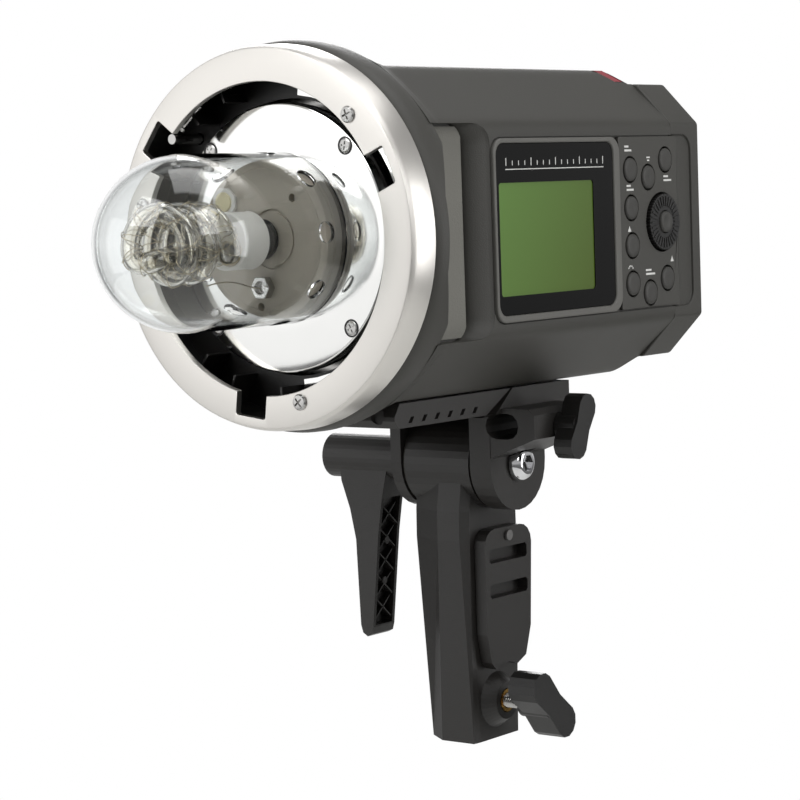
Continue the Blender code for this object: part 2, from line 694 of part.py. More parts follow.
def make_keypad():
    face = rounded((0.0293, 0.1757), (0.0737, 0.2460), 0.0010, 1)
    plate = prism("keypad_plate", face, PANEL_X + GAP, KEYPAD_X, "YZ", "casing_plastic")
    for name, y, z in BUTTONS:
        start = (0.055, y, z)
        hole = cylinder(name + "_hole", BUTTON_R + GAP, start, 0.02, "X", collection=CUTTERS, segments=20)
        boolean(plate, hole)
        button = cylinder(name, BUTTON_R, (0, 0, 0), 0.0050, "X", "key_plastic", segments=20)
        button.location = (KEYPAD_X - 0.0044, y, z)
        bevel(button, 0.0007)
    start = (0.055, DIAL_Y, DIAL_Z)
    boolean(plate, cylinder("dial_hole", DIAL_R + GAP, start, 0.02, "X", collection=CUTTERS, segments=40))
    make_dial()


def make_dial():
    teeth = 24
    outline = []
    for i in range(teeth):
        middle = 360 * i / teeth
        for shift, radius in ((-4.5, DIAL_R), (2.0, DIAL_R), (3.5, DIAL_R - 0.0009), (9.0, DIAL_R - 0.0009)):
            angle = math.radians(middle + shift)
            outline.append((DIAL_Y + radius * math.cos(angle), DIAL_Z + radius * math.sin(angle)))
    dial = prism("control_dial", outline, KEYPAD_X - 0.0034, KEYPAD_X + 0.0018, "YZ", "black_plastic")
    pivot(dial, (KEYPAD_X, DIAL_Y, DIAL_Z))
    start = (0.050, DIAL_Y, DIAL_Z)
    boolean(dial, cylinder("dial_bore", 0.0047, start, 0.03, "X", collection=CUTTERS, segments=24))
    button = cylinder("set_button", 0.0044, (0, 0, 0), 0.0066, "X", "key_plastic", segments=24)
    button.location = (KEYPAD_X - 0.0040, DIAL_Y, DIAL_Z)
    bevel(button, 0.0006)


def make_grips():
    """Thin textured pads on the floors of the two side pockets, which end along the bell."""
    inner = GRIP_FLOOR_X + GAP
    outer = inner + 0.0007
    reach = SIDE_Z - 0.0006
    heights = steps_between(reach, -reach, 12)
    front = [(bell_back(math.hypot(inner, height)) + 2 * GAP, LAMP_Z + height) for height in heights]
    rear = GRIP_END_Y - 0.0008
    outline = front + [(rear, LAMP_Z - reach), (rear, LAMP_Z + reach)]
    for side, name in ((1, "grip_pad_right"), (-1, "grip_pad_left")):
        low, high = sorted((side * inner, side * outer))
        prism(name, outline, low, high, "YZ", "grip_plastic")


def steps_between(first, last, count):
    return [first + (last - first) * i / count for i in range(count + 1)]


def make_battery():
    outer = rounded((-0.0515, 0.1755), (0.0615, 0.2465), 0.0035)
    pack = prism("battery_pack", outer, -SIDE_X - 0.0015, -0.0350, "YZ", "casing_plastic")
    pivot(pack, (-0.0350, 0.0050, LAMP_Z))
    bevel(pack, 0.0012)
    recess = rounded((0.0440, 0.2030), (0.0560, 0.2190), 0.002)
    boolean(pack, prism("latch_recess", recess, -0.0700, -0.0600, "YZ", collection=CUTTERS))
    tray = box("battery_tray", (-0.0585, -0.0545, 0.1725), (-0.0330, 0.0660, 0.2495), "black_plastic")
    low, high = (-0.0700, -0.0530, 0.1745), (-0.0346, 0.0630, 0.2475)
    boolean(tray, box("tray_hollow", low, high, collection=CUTTERS))
    grip = rounded((0.0450, 0.2040), (0.0510, 0.2180), 0.0015, 2)
    latch = prism("battery_latch", grip, -SIDE_X - 0.0018, -0.0603, "YZ", "grip_plastic")
    pivot(latch, (-SIDE_X, 0.0480, LAMP_Z))


def make_inside():
    """What works inside the casing: chassis, capacitors, boards and the fan."""
    chassis = octagon(0.0500, 0.0410, 0.0330, 0.0590, 0.0595)
    plate = prism("chassis_plate", chassis, -0.0900, -0.0880, "XZ", "steel")
    start = (0, -0.1000, LAMP_Z)
    boolean(plate, cylinder("cable_window", 0.0180, start, 0.02, "Y", collection=CUTTERS, segments=24))
    arm_gap = box("arm_gap", (-0.0040, -0.0100, -0.0060), (0.0040, 0.0100, 0.0140), collection=CUTTERS)
    boolean(plate, on_facet(arm_gap, -0.0890, -0.0120))
    for number, x in enumerate((0.0010, 0.0330)):
        start = (x, -0.0480, 0.1740)
        cylinder(f"flash_capacitor_{number + 1}", 0.0145, start, 0.0760, "Y", "capacitor_sleeve", segments=20)
    box("charger_board", (-0.0300, -0.0800, 0.1925), (0.0300, 0.0440, 0.1945), "circuit_board")
    box("control_board", (0.0480, -0.0530, 0.1800), (0.0500, 0.0660, 0.2420), "circuit_board")
    make_fan()


def make_fan():
    level = LAMP_Z + 0.0050
    low, high = (-0.0250, 0.0560, level - 0.0250), (0.0250, 0.0680, level + 0.0250)
    frame = box("fan_frame", low, high, "black_plastic")
    start = (0, 0.0500, level)
    boolean(frame, cylinder("fan_bore", 0.0232, start, 0.03, "Y", collection=CUTTERS, segments=28))
    low, high = (-0.0240, 0.0560, level - 0.0020), (0.0240, 0.0572, level + 0.0020)
    join(frame, box("fan_strut", low, high, collection=CUTTERS))
    rotor = cylinder("fan_rotor", 0.0090, (0, 0.0577, level), 0.0090, "Y", "black_plastic", segments=20)
    for number in range(7):
        half = Vector((0.0010, 0.0035, 0.0080))
        blade = box(f"fan_blade_{number}", -half, half, collection=CUTTERS)
        blade.data.transform(Matrix.Rotation(math.radians(35), 4, "Z") @ Matrix.Translation((0, 0, 0.0140)))
        blade.location = (0, 0.0620, level)
        blade.rotation_euler = (0, number * 2 * math.pi / 7, 0)
        join(rotor, blade)


def make_lock():
    """The pin that locks an accessory, and the slider whose arm draws it back."""
    rear = -0.0975
    cylinder("lock_pin", 0.0020, polar(PIN_R, PIN_ANGLE, PIN_TIP_Y), rear - PIN_TIP_Y, "Y", "steel", segments=12)
    slider = box("release_slider", (-0.0045, -0.0055, -0.0013), (0.0045, 0.0055, 0.0013), "black_plastic")
    on_facet(slider, RELEASE_Y, 0.0013 + GAP)
    bevel(slider, 0.0006)
    stem = box("slider_stem", (-0.0013, -0.0015, -0.0075), (0.0013, 0.0015, 0.0075), collection=CUTTERS)
    join(slider, on_facet(stem, RELEASE_Y, -0.0060))
    front = rear + GAP
    reach = (RELEASE_Y + 0.0015 - front) / 2
    arm = box("slider_arm", (-0.0022, -reach, -0.0020), (0.0022, reach, 0.0020), collection=CUTTERS)
    join(slider, on_facet(arm, front + reach, -0.0114))


# --- bracket, lever and knobs ----------------------------------------------------------------


def ear_outline(top):
    return [(EAR_R, top), (-EAR_R, top)] + arc((0, TILT_Z), EAR_R, 180, 360, 14)


def make_bracket():
    roof = LAMP_Z - CROWN_Z - GAP
    foot_low = 0.1372
    nose = [(bell_back(LAMP_Z - roof) + 0.0006, roof), (-0.0884, 0.1418), (-0.0884, foot_low + 0.0030)]
    side = nose + [(-0.0860, foot_low), (-0.0290, foot_low), (-0.0120, roof)]
    foot = prism("bracket_foot", side, -0.0340, 0.0340, "YZ", "casing_plastic")
    boolean(foot, box("foot_hollow", (-0.0315, -0.0830, 0.1300), (0.0315, -0.0260, 0.1440), collection=CUTTERS))
    for number in range(6):
        y = -0.0800 + number * 0.0083
        slot = [(y, 0.1388), (y + 0.0022, 0.1388), (y + 0.0040, 0.1412), (y + 0.0018, 0.1412)]
        boolean(foot, prism(f"foot_vent_{number}", slot, -0.05, 0.05, "YZ", collection=CUTTERS))
    port = cylinder("foot_port", 0.0030, (0.0255, -0.100, 0.1416), 0.0130, "Y", collection=CUTTERS, segments=16)
    boolean(foot, port)

    top = 0.1365
    bracket = prism("tilt_bracket", ear_outline(top), EAR_RIGHT[0], EAR_RIGHT[1], "YZ", "handle_plastic")
    left = prism("left_ear", ear_outline(top), EAR_LEFT[0], EAR_LEFT[1], "YZ", collection=CUTTERS)
    join(bracket, left)
    low = top - 0.0010
    slab = [(-0.0245, low), (0.0300, low), (0.0300, roof), (-0.0105, roof)]
    join(bracket, prism("bracket_plate", slab, -0.0340, 0.0340, "YZ", collection=CUTTERS))
    block = [
        (EAR_RIGHT[0] + 0.002, 0.1185),
        (EAR_RIGHT[1], 0.1185),
        (BLOCK_X, 0.1270),
        (BLOCK_X, 0.1365),
        (BLOCK_X - 0.0025, 0.1390),
        (EAR_RIGHT[0] + 0.002, 0.1390),
    ]
    join(bracket, prism("umbrella_block", block, -EAR_R + 0.0002, EAR_R - 0.0002, "XZ", collection=CUTTERS))
    hole = stadium((UMBRELLA_X, UMBRELLA_Z), UMBRELLA_HOLE[0], UMBRELLA_HOLE[1])
    boolean(bracket, prism("umbrella_hole", hole, -0.05, 0.05, "XZ", collection=CUTTERS))
    axle = (-0.05, 0, TILT_Z)
    boolean(bracket, cylinder("axle_hole", AXLE_R + GAP, axle, 0.10, "X", collection=CUTTERS, segments=24))
    relief = cylinder("head_relief", 0.0078, (EAR_RIGHT[1], 0, TILT_Z), 0.0056, "X", collection=CUTTERS)
    boolean(bracket, relief)
    screw = (UMBRELLA_X, UMBRELLA_KNOB_Y, UMBRELLA_KNOB_Z)
    boolean(bracket, cylinder("knob_hole", 0.0033, screw, 0.03, "X", collection=CUTTERS, segments=16))

    bolt_start = (-0.0640, 0, TILT_Z)
    bolt = cylinder("tilt_bolt", AXLE_R, bolt_start, EAR_RIGHT[1] + GAP + 0.0640, "X", "steel", segments=24)
    head = [(0, 0.0046), (0.0030, 0.0045), (0.0058, 0.0036), (0.0073, 0.0014), (0.0073, 0.0), (0, 0.0)]
    seat = (EAR_RIGHT[1] + GAP, 0, TILT_Z)
    join(bolt, turned("bolt_head", head, seat, "X", collection=CUTTERS, segments=24, ring=False))
    right = ("right", KNUCKLE[1] + GAP, EAR_RIGHT[0] - GAP)
    left = ("left", EAR_LEFT[1] + GAP, KNUCKLE[0] - GAP)
    for side, near, far in (right, left):
        face = (near, 0, TILT_Z)
        disc = cylinder(f"friction_disc_{side}", EAR_R - 0.001, face, far - near, "X", "black_plastic")
        start = (near - 0.01, 0, TILT_Z)
        bore = cylinder(f"disc_bore_{side}", AXLE_R + GAP, start, 0.03, "X", collection=CUTTERS, segments=24)
        boolean(disc, bore)


def make_lever():
    """The clamp lever: a hub on the axle and a long ribbed blade."""
    low, high = LEVER_HUB
    lever = cylinder("tilt_lever", LEVER_HUB_R, (low, 0, TILT_Z), high - low, "X", "black_plastic", segments=32)
    blade = (
        [(-0.0595, TILT_Z), (-0.0587, 0.1050), (-0.0545, 0.0930), (-0.0518, 0.0800), (-0.0507, 0.0433)]
        + [(-0.0497, 0.0400), (-0.0473, 0.0385), (-0.0450, 0.0396)]
        + [(-0.0441, 0.0426), (-0.0396, 0.0833), (-0.0372, 0.0980), (-0.0330, TILT_Z)]
    )
    body = prism("lever_blade", blade, -0.0078, 0.0068, "XZ", collection=CUTTERS)
    join(lever, body)
    pocket = [(-0.0485, 0.0433), (-0.0350, 0.0433), (-0.0300, 0.0980), (-0.0400, 0.0980), (-0.0440, 0.0833)]
    boolean(lever, prism("lever_pocket", pocket, -0.0062, 0.0052, "XZ", collection=CUTTERS))
    start = (low + 0.0030, 0, TILT_Z)
    boolean(lever, cylinder("lever_bore", AXLE_R + GAP, start, 0.08, "X", collection=CUTTERS, segments=24))


def wing_knob(name, screw_name, axis_yz, near, far, length, width, tilt, screw_to):
    """A two-winged knob that faces +X, and the screw it turns."""
    y, z = axis_yz
    wings = stadium((y, z), length, width, tilt, waist=0.82)
    knob = prism(name, wings, near + 0.0020, far, "YZ", "black_plastic")
    pivot(knob, (near, y, z))
    hub = cylinder(name + "_hub", 0.0058, (near, y, z), far - near - 0.001, "X", collection=CUTTERS, segments=24)
    join(knob, hub)
    start = (near - 0.01, y, z)
    boolean(knob, cylinder(name + "_bore", 0.0031 + GAP, start, 0.0160, "X", collection=CUTTERS, segments=16))
    cylinder(screw_name, 0.0030, (screw_to, y, z), near + 0.0055 - screw_to, "X", "steel", segments=16)


def make_umbrella_knob():
    spot = (UMBRELLA_KNOB_Y, UMBRELLA_KNOB_Z)
    wing_knob("umbrella_knob", "umbrella_screw", spot, 0.0506, 0.0610, 0.0275, 0.0115, 64, 0.0424)


def make_stand_knob():
    wing_knob("stand_knob", "stand_screw", (0, LOCK_Z), 0.0280, 0.0430, 0.0360, 0.0135, 135, 0.0086)


# --- handle --------------------------------------------------------------------------------


def column_outline(front, back, corner, front_left, left, right):
    """A section of the handle in X and Y, with a facet on the front left edge."""
    return [
        (corner, front),
        (right, front + 0.0040),
        (right, back - 0.0012),
        (right - 0.0012, back),
        (left + 0.0060, back),
        (left, back - 0.0060),
        (left, front + 0.0070),
        (front_left, front),
    ]


def make_handle():
    sections = [
        (0.0, column_outline(-0.0165, 0.0155, 0.0135, -0.0027, -0.0125, 0.0140)),
        (0.0840, column_outline(-0.0195, 0.0187, 0.0115, 0.0004, -0.0156, 0.0138)),
        (0.0960, column_outline(-0.0192, 0.0185, 0.0115, 0.0004, -0.0156, 0.0138)),
        (0.1085, column_outline(-0.0172, 0.0172, 0.0115, 0.0004, -0.0156, 0.0138)),
    ]
    column = loft("handle_column", sections, "XY", "handle_plastic")
    start = (KNUCKLE[0], 0, TILT_Z)
    width = KNUCKLE[1] - KNUCKLE[0]
    join(column, cylinder("knuckle", EAR_R - 0.0004, start, width, "X", collection=CUTTERS, segments=40))
    boss = cylinder("lock_boss", 0.0130, (0.0120, 0, LOCK_Z), 0.0072, "X", collection=CUTTERS, end_radius=0.0078)
    join(column, boss)
    start, depth = (0, 0, -0.01), SOCKET_DEPTH + 0.01
    boolean(column, cylinder("stand_bore", SOCKET_R, start, depth, "Z", collection=CUTTERS))
    insert = cylinder("insert_hole", 0.0048 + GAP, (0.004, 0, LOCK_Z), 0.03, "X", collection=CUTTERS, segments=20)
    boolean(column, insert)
    axle = cylinder("knuckle_hole", AXLE_R + GAP, (-0.05, 0, TILT_Z), 0.10, "X", collection=CUTTERS, segments=24)
    boolean(column, axle)

    tube = cylinder("brass_insert", 0.0048, (0.0090, 0, LOCK_Z), 0.0104, "X", "brass", segments=20)
    start = (0.0, 0, LOCK_Z)
    bore = cylinder("insert_bore", 0.0030 + GAP, start, 0.04, "X", collection=CUTTERS, segments=16)
    boolean(tube, bore)

    outline = (
        arc((0.0120, 0.0800), 0.0080, 0, 90, 4)
        + arc((-0.0060, 0.0810), 0.0070, 90, 180, 4)
        + [(-0.0130, 0.0450), (-0.0105, 0.0330)]
        + arc((0, LOCK_Z), 0.0160, 118, 62, 5)
        + [(0.0140, 0.0330), (0.0180, 0.0450)]
    )
    cover = prism("handle_cover", outline, COVER_X[0], COVER_X[1], "YZ", "handle_plastic")
    for number, level in enumerate((0.0740, 0.0595)):
        slot = rounded((-0.0100, level), (0.0165, level + 0.0058), 0.0010, 1)
        boolean(cover, prism(f"cover_slot_{number}", slot, 0.010, 0.030, "YZ", collection=CUTTERS))
    seat = (COVER_X[1] + GAP, 0.0030, 0.0845)
    cylinder("cover_screw", 0.0022, seat, 0.0010, "X", "steel", segments=12)


# --- assembly ------------------------------------------------------------------------------


def assemble(body, point, makers):
    """Runs the makers, and parents what they make to an empty on the body's joint axis."""
    before = set(OBJECT.objects)
    for make in makers:
        make()
    empty = bpy.data.objects.new(body, None)
    empty.empty_display_size = 0.02
    empty.location = point
    OBJECT.objects.link(empty)
    bpy.context.view_layer.update()
    for obj in set(OBJECT.objects) - before - {empty}:
        obj.parent = empty
        obj.matrix_parent_inverse = empty.matrix_world.inverted()


def main():
    clear_scene()
    make_materials()
    lamp_end = [make_ring, make_drum, make_reflector, make_lamp, make_flash_tube, make_dome, make_lock]
    casing = [make_casing, make_rear_cover, make_display, make_keypad, make_grips, make_battery, make_inside]
    assemble("head", (0, 0, TILT_Z), lamp_end + casing + [make_bracket])
    assemble("lever", (0, 0, TILT_Z), [make_lever])
    assemble("umbrella_clamp", (0, UMBRELLA_KNOB_Y, UMBRELLA_KNOB_Z), [make_umbrella_knob])
    assemble("stand_clamp", (0, 0, LOCK_Z), [make_stand_knob])
    assemble("handle", (0, 0, 0), [make_handle])


main()
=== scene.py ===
import json
import math
import bmesh
import bpy
from mathutils import Matrix, Vector


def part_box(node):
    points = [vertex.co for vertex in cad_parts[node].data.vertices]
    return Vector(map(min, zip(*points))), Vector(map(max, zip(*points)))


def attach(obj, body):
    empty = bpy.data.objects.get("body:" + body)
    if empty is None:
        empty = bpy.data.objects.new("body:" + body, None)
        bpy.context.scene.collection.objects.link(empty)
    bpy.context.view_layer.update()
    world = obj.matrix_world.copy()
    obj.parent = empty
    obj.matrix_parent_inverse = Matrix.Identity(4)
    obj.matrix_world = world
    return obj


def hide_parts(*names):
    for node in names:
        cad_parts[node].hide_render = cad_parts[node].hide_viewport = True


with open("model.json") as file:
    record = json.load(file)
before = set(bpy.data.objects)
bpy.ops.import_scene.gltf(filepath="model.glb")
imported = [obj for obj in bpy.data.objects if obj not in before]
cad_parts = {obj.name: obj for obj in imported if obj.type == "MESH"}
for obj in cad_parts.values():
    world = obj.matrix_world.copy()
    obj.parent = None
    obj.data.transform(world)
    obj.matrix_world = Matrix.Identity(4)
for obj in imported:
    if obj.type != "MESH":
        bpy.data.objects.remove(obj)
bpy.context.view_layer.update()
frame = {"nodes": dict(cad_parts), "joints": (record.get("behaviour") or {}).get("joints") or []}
nodes = frame["nodes"]
mm = 0.001

# reference places, all read from the frame
ringLow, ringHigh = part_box("mount_ring")
lampZ = (ringLow.z + ringHigh.z) / 2
ringY = ringLow.y
tiltZ = next(joint["pos_m"][2] for joint in frame["joints"] if joint["name"] == "head_tilt")
print("frame loaded:", len(nodes), "CAD nodes")


# ---- small tools ----

def linear(hexColour):
    parts = [int(hexColour[i:i + 2], 16) / 255 for i in (1, 3, 5)]
    return tuple(c / 12.92 if c <= 0.04045 else ((c + 0.055) / 1.055) ** 2.4 for c in parts) + (1.0,)


def scaled(colour, share):
    return tuple(min(1.0, c * share) for c in colour[:3]) + (1.0,)


def addNode(tree, kind, values=None, links=None, **settings):
    # one node, its settings, its unlinked values and the sockets that feed it
    node = tree.nodes.new(kind)
    for name, value in settings.items():
        setattr(node, name, value)
    for name, value in (values or {}).items():
        node.inputs[name].default_value = value
    for name, source in (links or {}).items():
        tree.links.new(source, node.inputs[name])
    return node


def between(tree, factor, first, second):
    # a colour between two, led by a factor; its sockets share names, so they go by number
    node = addNode(tree, "ShaderNodeMix", {}, {"Factor": factor}, data_type="RGBA")
    node.inputs[6].default_value, node.inputs[7].default_value = first, second
    return node.outputs[2]


def startMaterial(name, **values):
    material = bpy.data.materials.new(name)
    material.use_nodes = True
    tree = material.node_tree
    shader = tree.nodes["Principled BSDF"]
    for socket, value in values.items():
        shader.inputs[socket.replace("_", " ")].default_value = value
    place = addNode(tree, "ShaderNodeTexCoord").outputs["Object"]
    return material, tree, shader, place


def keepMesh(name, shape, material, smooth=35):
    bmesh.ops.remove_doubles(shape, verts=shape.verts, dist=0.002 * mm)
    bmesh.ops.recalc_face_normals(shape, faces=shape.faces)
    mesh = bpy.data.meshes.new(name)
    shape.to_mesh(mesh)
    shape.free()
    mesh.shade_smooth()
    mesh.set_sharp_from_angle(angle=math.radians(smooth))
    piece = bpy.data.objects.new(name, mesh)
    bpy.context.scene.collection.objects.link(piece)
    if material:
        mesh.materials.append(material)
    return piece


def settle(piece, body, stands=()):
    # the piece rides on its body, and may stand for CAD nodes
    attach(piece, body)
    if stands:
        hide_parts(*stands)
    return piece


def roundEdges(piece, width, segments=3, angle=35):
    edges = piece.modifiers.new("roundedEdges", "BEVEL")
    edges.width = width
    edges.segments = segments
    edges.limit_method = "ANGLE"
    edges.angle_limit = math.radians(angle)
    edges.harden_normals = True
    return piece


def bakeModifiers(piece):
    graph = bpy.context.evaluated_depsgraph_get()
    mesh = bpy.data.meshes.new_from_object(piece.evaluated_get(graph))
    old = piece.data
    piece.modifiers.clear()
    piece.data = mesh
    bpy.data.meshes.remove(old)
    return piece


def carve(piece, *shapes, operation="DIFFERENCE"):
    # cuts or joins closed shapes, then drops the helpers
    helpers = []
    for number, shape in enumerate(shapes):
        helper = keepMesh(f"helper{number}", shape, None)
        step = piece.modifiers.new(f"carve{number}", "BOOLEAN")
        step.operation = operation
        step.solver = "EXACT"
        step.object = helper
        helpers.append(helper)
    bpy.context.view_layer.update()
    bakeModifiers(piece)
    for helper in helpers:
        mesh = helper.data
        bpy.data.objects.remove(helper)
        bpy.data.meshes.remove(mesh)
    return piece


def resharpen(piece, angle=35):
    piece.data.shade_smooth()
    piece.data.set_sharp_from_angle(angle=math.radians(angle))
    return piece


def arc(cx, cy, radius, start, end, steps):
    turns = [math.radians(start + (end - start) * i / steps) for i in range(steps + 1)]
    return [(cx + radius * math.cos(t), cy + radius * math.sin(t)) for t in turns]


def hexagon(radius, cx, cy):
    return arc(cx, cy, radius, 0, 300, 5)


def roundBox(lowA, lowB, highA, highB, radius, steps=6):
    corners = ((highA - radius, lowB + radius, -90), (highA - radius, highB - radius, 0),
               (lowA + radius, highB - radius, 90), (lowA + radius, lowB + radius, 180))
    return [p for a, b, turn in corners for p in arc(a, b, radius, turn, turn + 90, steps)]


def fillet(points, radius, steps=5):
    # rounds each corner of a closed outline; radius may be a list, one for each corner
    made = []
    count = len(points)
    for i, corner in enumerate(points):
        r = radius[i] if isinstance(radius, (list, tuple)) else radius
        here = Vector(corner)
        back = (Vector(points[i - 1]) - here).normalized()
        onward = (Vector(points[(i + 1) % count]) - here).normalized()
        opening = back.angle(onward)
        if r <= 0 or opening > 3.1:
            made.append(tuple(here))
            continue
        reach = r / math.tan(opening / 2)
        middle = here + (back + onward).normalized() * (r / math.sin(opening / 2))
        first, last = here + back * reach - middle, here + onward * reach - middle
        sweep = first.angle_signed(last)
        for step in range(steps + 1):
            turned = first.copy()
            turned.rotate(Matrix.Rotation(-sweep * step / steps, 2))
            made.append(tuple(middle + turned))
    return made


planes = {
    "XY": Matrix(((1, 0, 0), (0, 1, 0), (0, 0, 1))).to_4x4(),
    "YZ": Matrix(((0, 0, 1), (1, 0, 0), (0, 1, 0))).to_4x4(),
    "XZ": Matrix(((1, 0, 0), (0, 0, -1), (0, 1, 0))).to_4x4(),
}


def slab(outline, low, high, plane, hole=None):
    # an outline made solid between two depths; a hole has as many points as its outline
    shape = bmesh.new()
    if plane == "XZ":
        low, high = -high, -low
    rings = []
    for loop in [outline] + ([hole] if hole else []):
        for depth in (low, high):
            rings.append([shape.verts.new((a, b, depth)) for a, b in loop])
    count = len(outline)
    around = [(i, (i + 1) % count) for i in range(count)]
    for i, j in around:
        shape.faces.new((rings[0][i], rings[0][j], rings[1][j], rings[1][i]))
    if hole:
        for i, j in around:
            shape.faces.new((rings[2][j], rings[2][i], rings[3][i], rings[3][j]))
            shape.faces.new((rings[0][j], rings[0][i], rings[2][i], rings[2][j]))
            shape.faces.new((rings[1][i], rings[1][j], rings[3][j], rings[3][i]))
    else:
        shape.faces.new(rings[0][::-1])
        shape.faces.new(rings[1])
    shape.transform(planes[plane])
    return shape


def turnTo(direction):
    return Vector((0, 0, 1)).rotation_difference(Vector(direction)).to_matrix().to_4x4()


def lathe(profile, at, direction, segments=96):
    # profile points are (radius, height) along the direction; a point on the axis closes it
    shape = bmesh.new()
    rows = []
    for radius, height in profile:
        if radius < 1e-7:
            rows.append([shape.verts.new((0, 0, height))])
            continue
        turns = [2 * math.pi * i / segments for i in range(segments)]
        rows.append([shape.verts.new((radius * math.cos(t), radius * math.sin(t), height)) for t in turns])
    closed = len(rows[0]) > 1
    pairs = list(zip(rows, rows[1:])) + ([(rows[-1], rows[0])] if closed else [])
    for near, far in pairs:
        for i in range(segments):
            j = (i + 1) % segments
            corners = [near[i % len(near)], near[j % len(near)], far[j % len(far)], far[i % len(far)]]
            unique = list(dict.fromkeys(corners))
            if len(unique) > 2:
                shape.faces.new(unique)
    shape.transform(Matrix.Translation(Vector(at)) @ turnTo(direction))
    return shape


def rod(radius, at, direction, length, segments=48, end=None):
    last = radius if end is None else end
    return lathe([(0, 0), (radius, 0), (last, length), (0, length)], at, direction, segments)


def softRod(radius, at, direction, length, edge, segments=64):
    # a cylinder with rounded rims
    low = [(radius - edge * (1 - math.sin(t)), edge * (1 - math.cos(t)))
           for t in [math.pi / 2 * i / 5 for i in range(6)]]
    high = [(r, length - h) for r, h in reversed(low)]
    return lathe([(0, 0)] + low + high + [(0, length)], at, direction, segments)


def block(low, high):
    shape = bmesh.new()
    bmesh.ops.create_cube(shape, size=1)
    low, high = Vector(low), Vector(high)
    bmesh.ops.scale(shape, vec=high - low, verts=shape.verts)
    bmesh.ops.translate(shape, vec=(low + high) / 2, verts=shape.verts)
    return shape


def merge(first, *others):
    for other in others:
        spare = bpy.data.meshes.new("spare")
        other.to_mesh(spare)
        other.free()
        first.from_mesh(spare)
        bpy.data.meshes.remove(spare)
    return first


def skin(rows, closedAround=True, caps=True):
    # a surface through rows of points, with flat ends
    shape = bmesh.new()
    grid = [[shape.verts.new(p) for p in row] for row in rows]
    count = len(grid[0])
    last = count if closedAround else count - 1
    for near, far in zip(grid, grid[1:]):
        for i in range(last):
            j = (i + 1) % count
            shape.faces.new((near[i], near[j], far[j], far[i]))
    if caps:
        shape.faces.new(grid[0][::-1])
        shape.faces.new(grid[-1])
    return shape


def onAxis(radius, degrees, y):
    turn = math.radians(degrees)
    return Vector((radius * math.cos(turn), y, lampZ + radius * math.sin(turn)))


# ---- materials ----

def mouldedPlastic(name, hexColour, roughness, grain, depth, clouds=0.12, specular=0.5):
    # moulded from a spark-eroded tool: a fine even pebble that breaks highlights into a soft sheen,
    # with slight handling marks that change the gloss from place to place
    material, tree, shader, place = startMaterial(name, Roughness=roughness, Specular_IOR_Level=specular)
    shader.inputs["IOR"].default_value = 1.5
    cloud = addNode(tree, "ShaderNodeTexNoise", {"Scale": 28.0, "Detail": 4.0}, {"Vector": place})
    base = linear(hexColour)
    tone = between(tree, cloud.outputs["Fac"], scaled(base, 1 - clouds), scaled(base, 1 + clouds))
    pebble = addNode(tree, "ShaderNodeTexVoronoi", {"Scale": 1 / grain, "Randomness": 1.0}, {"Vector": place})
    fine = addNode(tree, "ShaderNodeTexNoise", {"Scale": 2 / grain, "Detail": 3.0}, {"Vector": place})
    heights = addNode(tree, "ShaderNodeMath", {}, {0: pebble.outputs["Distance"], 1: fine.outputs["Fac"]},
                      operation="ADD")
    bump = addNode(tree, "ShaderNodeBump", {"Strength": 0.55, "Distance": depth},
                   {"Height": heights.outputs[0]})
    gloss = addNode(tree, "ShaderNodeMapRange", {"To Min": roughness - 0.06, "To Max": roughness + 0.08},
                    {"Value": cloud.outputs["Fac"]})
    tree.links.new(tone, shader.inputs["Base Color"])
    tree.links.new(gloss.outputs["Result"], shader.inputs["Roughness"])
    tree.links.new(bump.outputs["Normal"], shader.inputs["Normal"])
    return material


def workedMetal(name, hexColour, roughness, lineSpacing, depth, smudge=0.05, rings=True):
    # turned or brushed metal: fine tool lines round the lamp's axis, and faint changes of gloss
    material, tree, shader, place = startMaterial(name, Metallic=1.0, Roughness=roughness)
    smear = addNode(tree, "ShaderNodeTexNoise", {"Scale": 35.0, "Detail": 5.0}, {"Vector": place})
    parts = addNode(tree, "ShaderNodeSeparateXYZ", {}, {"Vector": place})
    if rings:
        up = addNode(tree, "ShaderNodeMath", {1: lampZ}, {0: parts.outputs["Z"]}, operation="SUBTRACT")
        flat = addNode(tree, "ShaderNodeCombineXYZ", {}, {"X": parts.outputs["X"], "Y": up.outputs[0]})
        distance = addNode(tree, "ShaderNodeVectorMath", {}, {0: flat.outputs[0]}, operation="LENGTH")
        along = addNode(tree, "ShaderNodeMath", {}, {0: distance.outputs["Value"], 1: parts.outputs["Y"]},
                        operation="ADD")
        line = addNode(tree, "ShaderNodeCombineXYZ", {}, {"X": along.outputs[0]})
    else:
        line = addNode(tree, "ShaderNodeCombineXYZ", {}, {"X": parts.outputs["X"], "Y": parts.outputs["Y"]})
    lines = addNode(tree, "ShaderNodeTexNoise", {"Scale": 1 / lineSpacing, "Detail": 2.0},
                    {"Vector": line.outputs[0]})
    bump = addNode(tree, "ShaderNodeBump", {"Strength": 0.35, "Distance": depth},
                   {"Height": lines.outputs["Fac"]})
    reach = {"To Min": max(0.02, roughness - smudge), "To Max": roughness + smudge}
    gloss = addNode(tree, "ShaderNodeMapRange", reach, {"Value": smear.outputs["Fac"]})
    base = linear(hexColour)
    tone = between(tree, smear.outputs["Fac"], scaled(base, 0.94), base)
    tree.links.new(tone, shader.inputs["Base Color"])
    tree.links.new(gloss.outputs["Result"], shader.inputs["Roughness"])
    tree.links.new(bump.outputs["Normal"], shader.inputs["Normal"])
    return material


